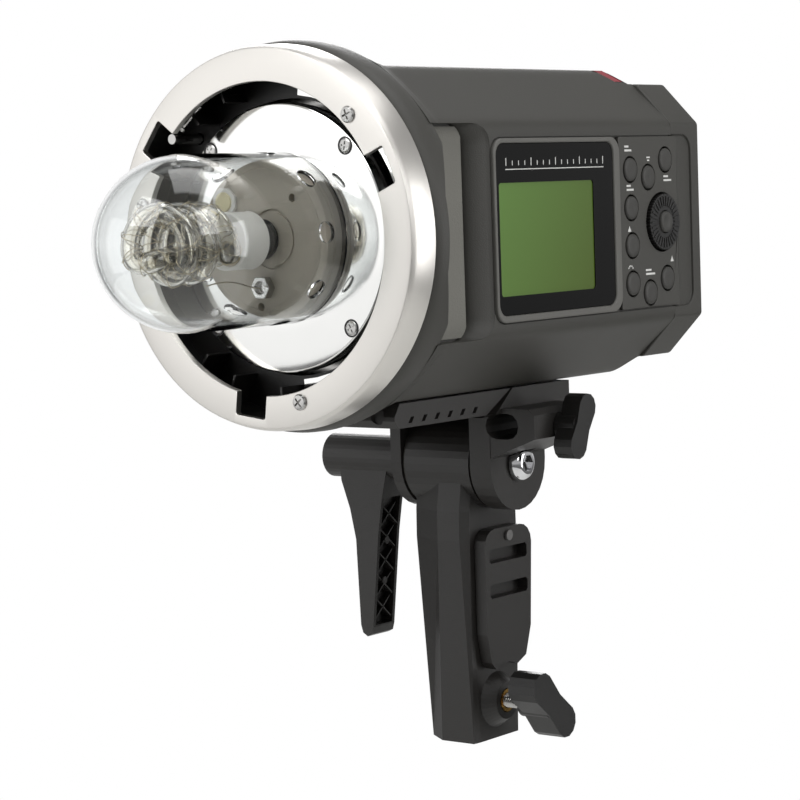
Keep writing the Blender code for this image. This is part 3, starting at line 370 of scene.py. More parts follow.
def clearGlass(name, hexColour, roughness, ior):
    # blown borosilicate: nearly colourless, with faint waves where it was drawn
    material, tree, shader, place = startMaterial(name, Roughness=roughness, IOR=ior, Transmission_Weight=1.0)
    shader.inputs["Base Color"].default_value = linear(hexColour)
    wave = addNode(tree, "ShaderNodeTexNoise", {"Scale": 45.0, "Detail": 1.0}, {"Vector": place})
    bump = addNode(tree, "ShaderNodeBump", {"Strength": 0.06, "Distance": 0.3 * mm},
                   {"Height": wave.outputs["Fac"]})
    tree.links.new(bump.outputs["Normal"], shader.inputs["Normal"])
    return material


def speckled(name, hexColour, roughness, speckSize, contrast, **more):
    # fired or cast surfaces: an even body colour with fine specks and soft blotches
    material, tree, shader, place = startMaterial(name, Roughness=roughness, **more)
    speck = addNode(tree, "ShaderNodeTexNoise", {"Scale": 1 / speckSize, "Detail": 6.0}, {"Vector": place})
    base = linear(hexColour)
    tone = between(tree, speck.outputs["Fac"], scaled(base, 1 - contrast), scaled(base, 1 + contrast))
    bump = addNode(tree, "ShaderNodeBump", {"Strength": 0.2, "Distance": 0.05 * mm},
                   {"Height": speck.outputs["Fac"]})
    tree.links.new(tone, shader.inputs["Base Color"])
    tree.links.new(bump.outputs["Normal"], shader.inputs["Normal"])
    return material


casingAbs = mouldedPlastic("casingAbs", "#383733", 0.52, 0.55 * mm, 0.07 * mm)
casingLowerAbs = mouldedPlastic("bracketAbs", "#211f1d", 0.50, 0.50 * mm, 0.06 * mm)
gripRubber = mouldedPlastic("gripRubber", "#74736d", 0.68, 0.80 * mm, 0.14 * mm, specular=0.35)
frameAbs = mouldedPlastic("frameAbs", "#5e5d59", 0.44, 0.40 * mm, 0.03 * mm)
panelAbs = mouldedPlastic("panelAbs", "#3c3b37", 0.52, 0.40 * mm, 0.04 * mm)
keyRubber = mouldedPlastic("keyRubber", "#363532", 0.50, 0.35 * mm, 0.03 * mm)
handleNylon = mouldedPlastic("handleNylon", "#1d1b19", 0.42, 0.45 * mm, 0.05 * mm)
knobNylon = mouldedPlastic("knobNylon", "#131211", 0.38, 0.45 * mm, 0.05 * mm)
trayNylon = mouldedPlastic("trayNylon", "#0d0c0c", 0.45, 0.50 * mm, 0.04 * mm)
fibreLining = mouldedPlastic("fibreLining", "#3a3833", 0.85, 0.30 * mm, 0.05 * mm, clouds=0.3)
anodisedAluminium = workedMetal("anodisedAluminium", "#dedbd6", 0.34, 0.10 * mm, 0.012 * mm)
polishedAluminium = workedMetal("polishedAluminium", "#eeeeec", 0.09, 0.25 * mm, 0.004 * mm, smudge=0.04)
platedSteel = workedMetal("platedSteel", "#b9b8b6", 0.20, 0.20 * mm, 0.006 * mm, rings=False)
chromedSteel = workedMetal("chromedSteel", "#e6e6e8", 0.08, 0.30 * mm, 0.002 * mm, smudge=0.03, rings=False)
turnedBrass = workedMetal("turnedBrass", "#c9a05a", 0.24, 0.12 * mm, 0.008 * mm, rings=False)
nickelWire = workedMetal("nickelWire", "#b3a88f", 0.28, 0.20 * mm, 0.004 * mm, rings=False)
domeGlass = clearGlass("domeGlass", "#fbfdfd", 0.0, 1.47)
tubeGlass = clearGlass("tubeGlass", "#f6f4ee", 0.02, 1.46)
firedSteatite = speckled("firedSteatite", "#b9b2a4", 0.48, 0.6 * mm, 0.06)
whitePorcelain = speckled("whitePorcelain", "#e9e7e1", 0.28, 0.8 * mm, 0.03)
yellowPhosphor = speckled("yellowPhosphor", "#e8dfb8", 0.40, 0.5 * mm, 0.05)
markInk = speckled("markInk", "#d6d6d3", 0.55, 0.2 * mm, 0.05)
boardResist = speckled("boardResist", "#1d5a38", 0.40, 1.5 * mm, 0.25)
sleevePvc = speckled("sleevePvc", "#20243c", 0.30, 2.0 * mm, 0.10)


def redAcrylic():
    # dark red cast acrylic that lets infra-red through: deep colour under a polished face
    material, tree, shader, place = startMaterial("redAcrylic", Roughness=0.12, IOR=1.49, Coat_Weight=0.6)
    swirl = addNode(tree, "ShaderNodeTexNoise", {"Scale": 60.0, "Detail": 2.0}, {"Vector": place})
    tone = between(tree, swirl.outputs["Fac"], linear("#6e0f1c"), linear("#a81c30"))
    tree.links.new(tone, shader.inputs["Base Color"])
    return material


def blackPanelGlass():
    # acrylic window printed black on its back, with an anti-glare coat: a smooth face over a true black
    material, tree, shader, place = startMaterial("blackPanelGlass", Roughness=0.08, IOR=1.49,
                                                  Specular_IOR_Level=0.22)
    shader.inputs["Base Color"].default_value = linear("#050505")
    dust = addNode(tree, "ShaderNodeTexNoise", {"Scale": 120.0, "Detail": 6.0}, {"Vector": place})
    reach = {"From Min": 0.4, "From Max": 0.8, "To Min": 0.05, "To Max": 0.16}
    gloss = addNode(tree, "ShaderNodeMapRange", reach, {"Value": dust.outputs["Fac"]})
    tree.links.new(gloss.outputs["Result"], shader.inputs["Roughness"])
    return material


def liquidCrystal(low, high):
    # a resting liquid-crystal panel: leaf green, with painted shade that deepens it to olive towards its rear
    # end and, less, towards its bottom, and a faint painted glow
    material, tree, shader, place = startMaterial("liquidCrystal", Roughness=0.22, IOR=1.49)
    parts = addNode(tree, "ShaderNodeSeparateXYZ", {}, {"Vector": place})
    along = addNode(tree, "ShaderNodeMapRange", {"From Min": low.y, "From Max": high.y},
                    {"Value": parts.outputs["Y"]})
    down = addNode(tree, "ShaderNodeMapRange", {"From Min": high.z, "From Max": low.z},
                   {"Value": parts.outputs["Z"]})
    both = addNode(tree, "ShaderNodeMath", {1: 0.35}, {0: down.outputs[0], 2: along.outputs[0]},
                   operation="MULTIPLY_ADD")
    share = addNode(tree, "ShaderNodeMath", {1: 0.74}, {0: both.outputs[0]}, operation="MULTIPLY")
    # painted shade: the ramp runs from lit leaf green to shaded olive along the panel
    ramp = addNode(tree, "ShaderNodeValToRGB", {}, {"Fac": share.outputs[0]})
    ramp.color_ramp.elements[0].color = linear("#587a36")
    ramp.color_ramp.elements[1].color = linear("#46591a")
    tree.links.new(ramp.outputs["Color"], shader.inputs["Base Color"])
    # painted glow: the resting panel is no lamp, yet its shaded colour is also given a faint emission
    tree.links.new(ramp.outputs["Color"], shader.inputs["Emission Color"])
    shader.inputs["Emission Strength"].default_value = 0.10
    return material


redWindow = redAcrylic()
panelGlass = blackPanelGlass()
print("materials made")


def dress(nodeName, finish):
    # a CAD node that keeps its shape gets its real material
    mesh = nodes[nodeName].data
    mesh.materials.clear()
    mesh.materials.append(finish)
    mesh.shade_smooth()
    mesh.set_sharp_from_angle(angle=math.radians(35))


keptNodes = {
    "chassis_plate": platedSteel, "control_board": boardResist, "charger_board": boardResist,
    "flash_capacitor_1": sleevePvc, "flash_capacitor_2": sleevePvc, "fan_frame": trayNylon,
    "fan_rotor": knobNylon,
    "battery_tray": trayNylon, "friction_disc_left": fibreLining, "friction_disc_right": fibreLining,
    "lcd_module": trayNylon, "brass_insert": turnedBrass, "cover_screw": platedSteel,
    "umbrella_screw": platedSteel,
    "lock_pin": platedSteel, "reflector_apron": polishedAluminium, "mount_drum": knobNylon,
}
for nodeName, finish in keptNodes.items():
    dress(nodeName, finish)

# moulded parts keep their CAD shape and get worn-in, rounded edges
mouldedNodes = {
    "bracket_foot": (casingLowerAbs, 0.0008), "tilt_bracket": (casingLowerAbs, 0.0008),
    "handle_column": (handleNylon, 0.0009), "handle_cover": (handleNylon, 0.0008),
    "tilt_lever": (handleNylon, 0.0006), "umbrella_knob": (knobNylon, 0.0010),
    "stand_knob": (knobNylon, 0.0010),
    "port_panel": (trayNylon, 0.0003), "release_slider": (knobNylon, 0.0005),
    "grip_pad_left": (gripRubber, 0.0002), "grip_pad_right": (gripRubber, 0.0002),
    "receiver_window": (redWindow, 0.0003),
}
for nodeName, (finish, width) in mouldedNodes.items():
    dress(nodeName, finish)
    roundEdges(nodes[nodeName], width, segments=2, angle=40)
print("carried-over nodes dressed")


# ---- lamp end ----

def aroundLamp(shape, degrees):
    # a shape drawn to the right of the lamp's axis, turned to its place round it
    turn = Matrix.Rotation(-math.radians(degrees), 4, "Y")
    shape.transform(Matrix.Translation((0, 0, lampZ)) @ turn)
    return shape


def screws(name, spots, direction, radius, height, finish, turns):
    # pan-head machine screws with a cross recess, all in one piece
    dome = [(0, 0), (radius * 0.94, 0), (radius, height * 0.12), (radius, height * 0.42),
            (radius * 0.86, height * 0.80), (radius * 0.55, height * 0.97), (0, height)]
    heads, crosses = bmesh.new(), [bmesh.new(), bmesh.new()]
    for spot, turn in zip(spots, turns):
        heads = merge(heads, lathe(dome, spot, direction, 40))
        for number in (0, 1):
            arm = block((-radius * 0.62, -radius * 0.12, height * 0.20),
                        (radius * 0.62, radius * 0.12, height * 1.5))
            arm.transform(Matrix.Translation(Vector(spot)) @ turnTo(direction)
                          @ Matrix.Rotation(math.radians(turn + 90 * number), 4, "Z"))
            crosses[number] = merge(crosses[number], arm)
    return resharpen(carve(keepMesh(name, heads, finish), *crosses), 30)


lamp = {"ringScrewRadius": 0.0630, "ringScrewTurns": (45.3, 165.3, 285.3), "lugTurns": (23, 143, 263),
        "baseFront": -0.1212, "discFront": -0.1115, "socketRoot": -0.1215, "collarRoot": -0.1306,
        "terminalZ": lampZ - 0.0181, "ledX": -0.0170, "ledZ": lampZ + 0.0150, "ledFront": -0.1226}

ringSize = {"hole": 0.0589, "face": 0.0708, "skirtInside": 0.0701, "plate": 0.0030, "lugOut": 0.0675,
            "lugWidth": 0.0145, "lugCorner": 0.0010}
depth = ringHigh.y - ringLow.y
ringProfile = [(ringSize["hole"], 0.0002), (ringSize["hole"] + 0.0002, 0), (ringSize["face"], 0)]
ringProfile += [(ringSize["face"] + 0.0006, 0.0002), (0.0719, 0.0014), (0.0724, 0.0030)]
ringProfile += [(0.0730, depth - 0.0004), (0.0727, depth), (ringSize["skirtInside"], depth)]
ringProfile += [(ringSize["skirtInside"], ringSize["plate"]), (ringSize["hole"], ringSize["plate"])]
mountRing = keepMesh("mountRing", lathe(ringProfile, (0, ringY, lampZ), (0, 1, 0), 240), anodisedAluminium)
half = ringSize["lugWidth"] / 2
lug = fillet([(0.050, -half), (ringSize["lugOut"], -half), (ringSize["lugOut"], half), (0.050, half)],
             [0, ringSize["lugCorner"], ringSize["lugCorner"], 0])
lugCuts = bmesh.new()
for turn in lamp["lugTurns"]:
    lugCuts = merge(lugCuts, aroundLamp(slab(lug, ringY - 0.001, ringY + 0.004, "XZ"), turn))
carve(mountRing, lugCuts)
resharpen(roundEdges(mountRing, 0.0003, 2, 50), 30)
settle(mountRing, "head", ["mount_ring"])

spots = [onAxis(lamp["ringScrewRadius"], t, ringY) for t in lamp["ringScrewTurns"]]
settle(screws("ringScrews", spots, (0, -1, 0), 0.0031, 0.0014, platedSteel, (20, 65, 40)), "head",
       ["ring_screw_1", "ring_screw_2", "ring_screw_3"])

# a pressed mirror disc with a rolled rim, standing proud of the drum on four countersunk screws
disc = {"edge": 0.0510, "roll": 0.0008, "hole": 0.0282, "back": -0.1038, "screwX": 0.0332, "screwZ": 0.0338}
front = lamp["discFront"]
discProfile = [(disc["hole"], 0), (disc["edge"] - disc["roll"], 0), (disc["edge"] - 0.0002, 0.0003),
               (disc["edge"], disc["roll"]), (disc["edge"], disc["back"] - front),
               (disc["edge"] - 0.0010, disc["back"] - front), (disc["edge"] - 0.0010, 0.0012),
               (disc["hole"], 0.0012)]
discShape = lathe(discProfile, (0, front, lampZ), (0, 1, 0), 200)
reflector = keepMesh("reflectorDisc", discShape, polishedAluminium)
settle(reflector, "head", ["reflector_disc"])
spots = [(sx * disc["screwX"], front, lampZ + sz * disc["screwZ"]) for sx in (-1, 1) for sz in (-1, 1)]
discScrews = screws("discScrews", spots, (0, -1, 0), 0.0027, 0.0005, platedSteel, (10, 50, 25, 80))
settle(discScrews, "head")
# painted shade: a thin near-black ring on the mirror face round each screw head, where the gap round the head
# falls dark
screwShadeRings = bmesh.new()
for spot in spots:
    rim = [(0.0028, 0), (0.0034, 0), (0.0034, 0.0001), (0.0028, 0.0001)]
    screwShadeRings = merge(screwShadeRings, lathe(rim, spot, (0, -1, 0), 48))
settle(keepMesh("discScrewPaintedShade", screwShadeRings, trayNylon), "head")

# drum fittings seen through the lug slots: cross ribs, a spring clip and its pin
ribs = bmesh.new()
for turn in (112, 128, 152, 232, 248, 272, -8, 8, 38):
    ribs = merge(ribs, aroundLamp(block((0.0560, -0.1165, -0.0006), (0.0682, -0.1034, 0.0006)), turn))
settle(roundEdges(keepMesh("drumRibs", ribs, knobNylon), 0.0002, 2), "head")
clip = aroundLamp(merge(rod(0.0009, (0.0615, -0.1150, -0.0068), (0, 0, 1), 0.0136, 24),
                        rod(0.0016, (0.0615, -0.1150, 0.0052), (0, 0, 1), 0.0014, 24)), 130)
settle(keepMesh("lockSpringPin", clip, platedSteel, 30), "head")
print("ring and reflector made")

# turned lamp base: a flanged grey steatite puck with recessed holes
base = {"rim": 0.0302, "neck": 0.0276, "flangeBack": 0.0094, "back": 0.0262, "edge": 0.0009}
baseProfile = [(0, 0), (base["rim"] - 0.0034, 0), (base["rim"] - 0.0030, 0.0004),
               (base["rim"] - base["edge"], 0.0004)]
baseProfile += [(base["rim"] - 0.0002, 0.0008), (base["rim"], 0.0014), (base["rim"], 0.0040),
                (base["rim"] - 0.0006, 0.0044), (base["rim"] - 0.0006, 0.0050), (base["rim"], 0.0054),
                (base["rim"], base["flangeBack"] - 0.0006), (base["rim"] - 0.0006, base["flangeBack"]),
                (base["neck"], base["flangeBack"]), (base["neck"], base["back"]), (0, base["back"])]
face = lamp["baseFront"]
lampBase = keepMesh("lampBase", lathe(baseProfile, (0, face, lampZ), (0, 1, 0), 160), firedSteatite)
holes = bmesh.new()
for x, z, radius, deep in ((-0.0029, -0.0257, 0.0017, 0.004), (0.0140, 0.0150, 0.0016, 0.003)):
    holes = merge(holes, rod(radius, (x, face - 0.001, lampZ + z), (0, 1, 0), deep + 0.001, 40))
well = lathe([(0.0100, 0), (0.0112, 0), (0.0112, 0.0016), (0.0100, 0.0016)], (0.0037, face - 0.0008, lampZ),
             (0, 1, 0), 72)
carve(lampBase, holes, well)
resharpen(lampBase, 30)
settle(lampBase, "head", ["lamp_base"])

# ribbed plug socket, from the base to the white collar
socketProfile = [(0, 0)]
for rib in range(4):
    low = 0.0004 + rib * 0.0020
    socketProfile += [(0.0066, low), (0.0076, low + 0.0003), (0.0076, low + 0.0013), (0.0066, low + 0.0016)]
socketProfile += [(0.0066, 0.0088), (0, 0.0088)]
socketShape = lathe(socketProfile, (0, lamp["socketRoot"], lampZ), (0, -1, 0), 72)
socket = keepMesh("lampSocket", socketShape, trayNylon, 30)
settle(socket, "head", ["lamp_socket"])
bands = bmesh.new()
for low in (0.0021, 0.0041, 0.0061):
    band = [(0.0064, low), (0.00705, low), (0.00705, low + 0.0003), (0.0064, low + 0.0003)]
    bands = merge(bands, lathe(band, (0, lamp["socketRoot"], lampZ), (0, -1, 0), 72))
settle(keepMesh("socketContacts", bands, platedSteel), "head")
collarProfile = [(0, 0), (0.0104, 0), (0.0110, 0.0006), (0.0110, 0.0118), (0.0104, 0.0124), (0, 0.0124)]
collarShape = lathe(collarProfile, (0, lamp["collarRoot"], lampZ), (0, -1, 0), 96)
collar = keepMesh("tubeCollar", collarShape, whitePorcelain, 40)
settle(collar, "head", ["tube_collar"])
nut = hexagon(0.0046, 0, lamp["terminalZ"])
terminal = keepMesh("triggerTerminal", slab(nut, -0.1252, -0.1213, "XZ"), platedSteel, 30)
carve(terminal, rod(0.0024, (0, -0.1270, lamp["terminalZ"]), (0, 1, 0), 0.0040, 36))
settle(roundEdges(terminal, 0.0004, 2), "head", ["trigger_terminal"])
led = arc(lamp["ledX"], lamp["ledZ"], 0.0062, 22.5, 337.5, 7)
ledPlate = keepMesh("ledCarrier", slab(led, lamp["ledFront"], -0.1211, "XZ"), whitePorcelain)
settle(roundEdges(ledPlate, 0.0003, 2), "head", ["modelling_led"])
chip = lathe([(0, 0), (0.0040, 0), (0.0038, 0.0007), (0.0026, 0.0010), (0, 0.0011)],
             (lamp["ledX"], lamp["ledFront"], lamp["ledZ"]), (0, -1, 0), 48)
settle(keepMesh("ledPhosphor", chip, yellowPhosphor), "head")


# flash tube: quartz tube bent in a coil, both ends in the collar, criss-crossed with trigger wire
def frames(points):
    made, normal, last = [], None, len(points) - 1
    for i, point in enumerate(points):
        ahead = (points[min(i + 1, last)] - points[max(i - 1, 0)]).normalized()
        normal = ahead.orthogonal() if normal is None else normal
        normal = (normal - ahead * normal.dot(ahead)).normalized()
        made.append((point, normal, ahead.cross(normal)))
    return made


def pipe(points, radius, sides=16, bore=0):
    turns = [2 * math.pi * i / sides for i in range(sides)]
    run = frames(points)
    rows = [[p + (n * math.cos(t) + b * math.sin(t)) * radius for t in turns] for p, n, b in run]
    if not bore:
        return skin(rows)
    rows += [[p + (n * math.cos(t) + b * math.sin(t)) * bore for t in turns] for p, n, b in reversed(run)]
    return skin(rows + rows[:1], caps=False)


def smoothed(points, rounds):
    # a route eased a little at every point, with its ends held
    for again in range(rounds):
        inner = [(points[i - 1] + points[i] * 2 + points[i + 1]) / 4 for i in range(1, len(points) - 1)]
        points = [points[0]] + inner + [points[-1]]
    return points


coil = {"radius": 0.0118, "turns": 2.5, "front": -0.1808, "back": -0.1545, "tube": 0.0037, "bore": 0.0027,
        "leg": 0.0052, "root": -0.1420, "wire": 0.00015, "wraps": 30}
# the route as (radius, turn, y): up from the collar, round the coil, in to the axis and straight back
route = []
wound = 360 * coil["turns"]
for i in range(13):
    step = i / 12
    ease = step * step * (3 - 2 * step)
    route.append((coil["leg"] + (coil["radius"] - coil["leg"]) * ease, -70 + 70 * step,
                  coil["root"] + (coil["back"] - coil["root"]) * step))
for i in range(1, 121):
    step = i / 120
    route.append((coil["radius"], wound * step, coil["back"] + (coil["front"] - coil["back"]) * step))
for i in range(1, 15):
    step = i / 14
    ease = step * step * (3 - 2 * step)
    route.append((coil["radius"] + (coil["leg"] - coil["radius"]) * ease, wound + 110 * step,
                  coil["front"] - 0.0022 * math.sin(math.pi * step)))
for i in range(1, 21):
    route.append((coil["leg"], wound + 110, coil["front"] + (coil["root"] - coil["front"]) * i / 20))
path = smoothed([onAxis(radius, turn, y) for radius, turn, y in route], 6)
flashTube = keepMesh("flashTube", pipe(path, coil["tube"], 28, coil["bore"]), tubeGlass, 60)
settle(flashTube, "head", ["flash_tube"])
fine = []
for near, far in zip(path, path[1:]):
    fine += [near.lerp(far, k / 5) for k in range(5)]
run = frames(fine)
wires = bmesh.new()
for hand in (1, -1):
    around = [hand * 2 * math.pi * coil["wraps"] * i / len(run) for i in range(len(run))]
    reach = coil["tube"] + coil["wire"] * (1.2 if hand > 0 else 3.0)
    line = [p + (n * math.cos(t) + b * math.sin(t)) * reach for t, (p, n, b) in zip(around, run)]
    wires = merge(wires, pipe(line, coil["wire"], 6))
# its lead runs from the terminal up to the coil
lead = [Vector((x, y, lampZ + z)) for x, y, z in
        ((0, -0.1250, -0.0181), (0, -0.1290, -0.0178), (0, -0.1400, -0.0150), (0.001, -0.1500, -0.0152),
         (0.002, -0.1560, -0.0158))]
leadLine = [near.lerp(far, k / 6) for near, far in zip(lead, lead[1:]) for k in range(6)] + [lead[-1]]
wires = merge(wires, pipe(smoothed(leadLine, 8), 0.00028, 8))
settle(keepMesh("triggerWire", wires, nickelWire, 60), "head")

# blown glass dome with nine vents round its mouth
dome = {"outer": 0.0325, "wall": 0.0016, "mouth": -0.1118, "straight": -0.1650, "tip": -0.1995, "ventTurn": 4,
        "ventY": -0.1225, "vent": 0.0040}
nose = dome["straight"] - dome["tip"]
inner = dome["outer"] - dome["wall"]
bends = [math.pi / 2 * i / 40 for i in range(41)]
outside = [(dome["outer"] * math.cos(t), -nose * math.sin(t) + dome["straight"]) for t in bends]
inside = [(inner * math.cos(t), -(nose - dome["wall"]) * math.sin(t) + dome["straight"]) for t in bends]
lip = [(inner, dome["mouth"]), (inner + 0.0004, dome["mouth"] + 0.0003),
       (dome["outer"] - 0.0004, dome["mouth"] + 0.0003), (dome["outer"], dome["mouth"])]
profile = [(0, outside[-1][1])] + outside[-2::-1] + lip[::-1] + inside[:-1] + [(0, inside[-1][1])]
shell = lathe([(r, -y) for r, y in profile], (0, 0, lampZ), (0, -1, 0), 144)
glassDome = keepMesh("glassDome", shell, domeGlass, 50)
ventCuts = [bmesh.new(), bmesh.new()]
for number in range(9):
    spot = Vector((0.024, dome["ventY"], 0))
    cut = aroundLamp(rod(dome["vent"], spot, (1, 0, 0), 0.014, 48), dome["ventTurn"] + 40 * number)
    ventCuts[number % 2] = merge(ventCuts[number % 2], cut)
carve(glassDome, *ventCuts)
resharpen(glassDome, 40)
settle(glassDome, "head", ["glass_dome"])
print("lamp made")


# ---- casing ----

def sectionReach(c, s, size):
    # distance from the axis to a softly rounded octagon, in one direction
    x, z = abs(c), abs(s)
    (ax, az), (bx, bz) = size["side"], size["top"]
    nx, nz = bz - az, ax - bx
    length = math.hypot(nx, nz)
    chamfer = (ax * nx + az * nz) / length
    reaches = [ax / max(x, 1e-6), bz / max(z, 1e-6), chamfer / ((nx * x + nz * z) / length)]
    soft = size["soft"]
    least = min(reaches)
    return least - soft * math.log(sum(math.exp(-(t - least) / soft) for t in reaches))


def curveAt(curve, y):
    # the radius at y of a profile given as (y, radius) pairs
    for (ya, ra), (yb, rb) in zip(curve, curve[1:]):
        if y <= yb:
            return ra + (rb - ra) * max(0, (y - ya) / (yb - ya))
    return curve[-1][1]


casingFront = -0.1099
sides = 288
directions = [(math.cos(2 * math.pi * i / sides), math.sin(2 * math.pi * i / sides)) for i in range(sides)]
body = {"side": (0.0615, 0.0404), "top": (0.0360, 0.0636), "soft": 0.0009}
# how the casing swells towards the ring, as (y, radius)
bell = [(-0.1099, 0.0730), (-0.1069, 0.0742), (-0.0990, 0.0745), (-0.0919, 0.0715), (-0.0864, 0.0660),
        (-0.0814, 0.0540), (-0.0760, 0.0300)]


def casingRow(y, soft=0.0016):
    # one cross-section: the octagon, swelling into the round bell
    around = []
    swell = curveAt(bell, y)
    for c, s in directions:
        flat = sectionReach(c, s, body)
        high = max(flat, swell)
        reach = high + soft * math.log(math.exp((flat - high) / soft) + math.exp((swell - high) / soft))
        around.append((reach * c, y, lampZ + reach * s))
    return around


stations = [-0.0975 + 0.0011 * i for i in range(24)] + [-0.068, -0.050, -0.020, 0.020, 0.050, 0.0703]
casing = keepMesh("mainCasing", skin([casingRow(y) for y in stations]), casingAbs)
# the bell behind the ring, as (radius, distance behind the casing's front)
bellProfile = [(0, 0), (0.0726, 0), (0.0732, 0.0006)]
bellProfile += [(0.0740, 0.0026), (0.0744, 0.0050), (0.0745, 0.0090), (0.0743, 0.0118), (0.0736, 0.0145),
                (0.0724, 0.0167), (0.0705, 0.0190), (0.0680, 0.0213), (0.0645, 0.0237), (0.0600, 0.0259),
                (0.0540, 0.0280), (0.0460, 0.0296), (0, 0.0300)]

# grip pockets: the floor meets the display block in a soft S-shaped slope
pocket = {"top": 0.0409, "front": -0.1300, "slope": [(0.0539, -0.0688), (0.0549, -0.0686), (0.0562, -0.0679),
          (0.0578, -0.0664), (0.0594, -0.0640), (0.0605, -0.0615), (0.0612, -0.0598), (0.0625, -0.0585),
          (0.0700, -0.0540)]}
for side in (1, -1):
    rows = []
    for x, rear in pocket["slope"]:
        loop = roundBox(pocket["front"], lampZ - pocket["top"], rear, lampZ + pocket["top"], 0.0085, 10)
        rows.append([(side * x, y, z) for y, z in loop])
    carve(casing, skin(rows))
carve(casing, lathe(bellProfile, (0, casingFront, lampZ), (0, 1, 0), 200), operation="UNION")
# beside the pockets the bell is scooped away, so that the pads reach forward almost to the ring
scoop = [(0.0731, -0.1040), (0.0714, -0.1018), (0.0690, -0.0990), (0.0662, -0.0957), (0.0632, -0.0920),
         (0.0590, -0.0868), (0.0540, -0.0812)]
for side in (1, -1):
    outline = [(side * x, y) for x, y in scoop + [(0.0800, scoop[-1][1]), (0.0800, scoop[0][1])]]
    carve(casing, slab(outline, lampZ - pocket["top"], lampZ + pocket["top"], "XY"))

# a step down to the rear cover, above and below
steps = bmesh.new()
for side, start in ((1, 0.0572), (-1, 0.0590)):
    outline = [(start, 0.0642), (start + 0.0105, 0.0575), (0.0800, 0.0575), (0.0800, 0.0700), (start, 0.0700)]
    steps = merge(steps, slab([(y, lampZ + side * z) for y, z in outline], -0.09, 0.09, "YZ"))
carve(casing, steps)
windowCut = [(0.0495, 0.2760), (0.0594, 0.2693), (0.0659, 0.2693), (0.0558, 0.2760)]
carve(casing, slab(windowCut, -0.0432, 0.0432, "YZ"))
panelCut = roundBox(-0.0596, 0.1750, 0.0860, 0.2465, 0.0064)
keyCut = [(0.0300, 0.1770), (0.0725, 0.1770), (0.0725, 0.2450), (0.0300, 0.2450)]
lcdLow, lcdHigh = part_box("lcd_module")
lcdCut = [(lcdLow.y - 0.001, lcdLow.z - 0.001), (lcdHigh.y + 0.001, lcdLow.z - 0.001),
          (lcdHigh.y + 0.001, lcdHigh.z + 0.001), (lcdLow.y - 0.001, lcdHigh.z + 0.001)]
carve(casing, slab(panelCut, 0.0602, 0.0750, "YZ"))
carve(casing, merge(slab(lcdCut, 0.0500, 0.0700, "YZ"), slab(keyCut, 0.0500, 0.0700, "YZ")))
packLow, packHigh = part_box("battery_pack")
packCut = roundBox(packLow.y - 0.0004, packLow.z - 0.0004, packHigh.y + 0.0004, packHigh.z + 0.0004, 0.0034)
carve(casing, slab(packCut, -0.0750, -0.0400, "YZ"))
# a well behind the ring for the lug drum, and a hollow inside for the fan and the boards
mouthCut = lathe([(0, -0.0020), (0.0699, -0.0020), (0.0699, 0.0084), (0.0623, 0.0084), (0.0623, 0.0147),
                  (0.0500, 0.0240), (0, 0.0262)], (0, casingFront, lampZ), (0, 1, 0), 160)
carve(casing, mouthCut)
# the lock pin draws back 6 mm into its own bore behind the well
pinLow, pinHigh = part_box("lock_pin")
pinBore = [(0, -0.0040), (0.0028, -0.0040), (0.0028, 0.0070), (0, 0.0070)]
pinRear = ((pinLow.x + pinHigh.x) / 2, pinHigh.y, (pinLow.z + pinHigh.z) / 2)
carve(casing, lathe(pinBore, pinRear, (0, 1, 0), 24))
hollow = [(0.0512, -0.0400), (0.0512, 0.0400), (0.0340, 0.0595), (-0.0340, 0.0595), (-0.0512, 0.0400),
          (-0.0512, -0.0400), (-0.0340, -0.0595), (0.0340, -0.0595)]
carve(casing, slab([(x, lampZ + z) for x, z in hollow], -0.0850, 0.0800, "XZ"))
resharpen(casing, 28)
roundEdges(casing, 0.0005, 2, 32)
settle(casing, "head", ["main_casing"])
print("casing made")


# ---- display side ----

frameSize = {"low": (-0.0590, 0.1755), "high": (0.0290, 0.2460), "wall": 0.0019, "corner": 0.0062,
             "back": 0.0601, "face": 0.0627}
outer = roundBox(*frameSize["low"], *frameSize["high"], frameSize["corner"], 10)
wall = frameSize["wall"]
innerLow = (frameSize["low"][0] + wall, frameSize["low"][1] + wall + 0.0008)
innerHigh = (frameSize["high"][0] - wall - 0.0026, frameSize["high"][1] - wall)
inner = roundBox(*innerLow, *innerHigh, frameSize["corner"] - 0.0014, 10)
frameShape = slab(outer, frameSize["back"], frameSize["face"], "YZ", inner)
displayFrame = keepMesh("displayFrame", frameShape, frameAbs)
settle(roundEdges(displayFrame, 0.0007, 4, 50), "head", ["display_frame"])

glass = {"back": 0.0600, "face": 0.0620, "lcdLow": (-0.0550, 0.1856), "lcdHigh": (0.0100, 0.2290),
         "sink": 0.0005}
edge = roundBox(innerLow[0] + 0.0001, innerLow[1] + 0.0001, innerHigh[0] - 0.0001, innerHigh[1] - 0.0001,
                0.0046, 10)
opening = roundBox(*glass["lcdLow"], *glass["lcdHigh"], 0.0016, 10)
window = keepMesh("displayGlass", slab(edge, glass["back"], glass["face"], "YZ", opening), panelGlass)
settle(roundEdges(window, 0.0002, 2, 50), "head", ["display_window"])
lcd = roundBox(glass["lcdLow"][0] - 0.0004, glass["lcdLow"][1] - 0.0004, glass["lcdHigh"][0] + 0.0004,
               glass["lcdHigh"][1] + 0.0004, 0.0016, 6)
lcdPaintedShadeMaterial = liquidCrystal(Vector((0, glass["lcdLow"][0], glass["lcdLow"][1])),
                            Vector((0, glass["lcdHigh"][0], glass["lcdHigh"][1])))
lcdPanel = keepMesh("lcdPanel", slab(lcd, glass["back"], glass["face"] - glass["sink"], "YZ"), lcdPaintedShadeMaterial)
settle(lcdPanel, "head")

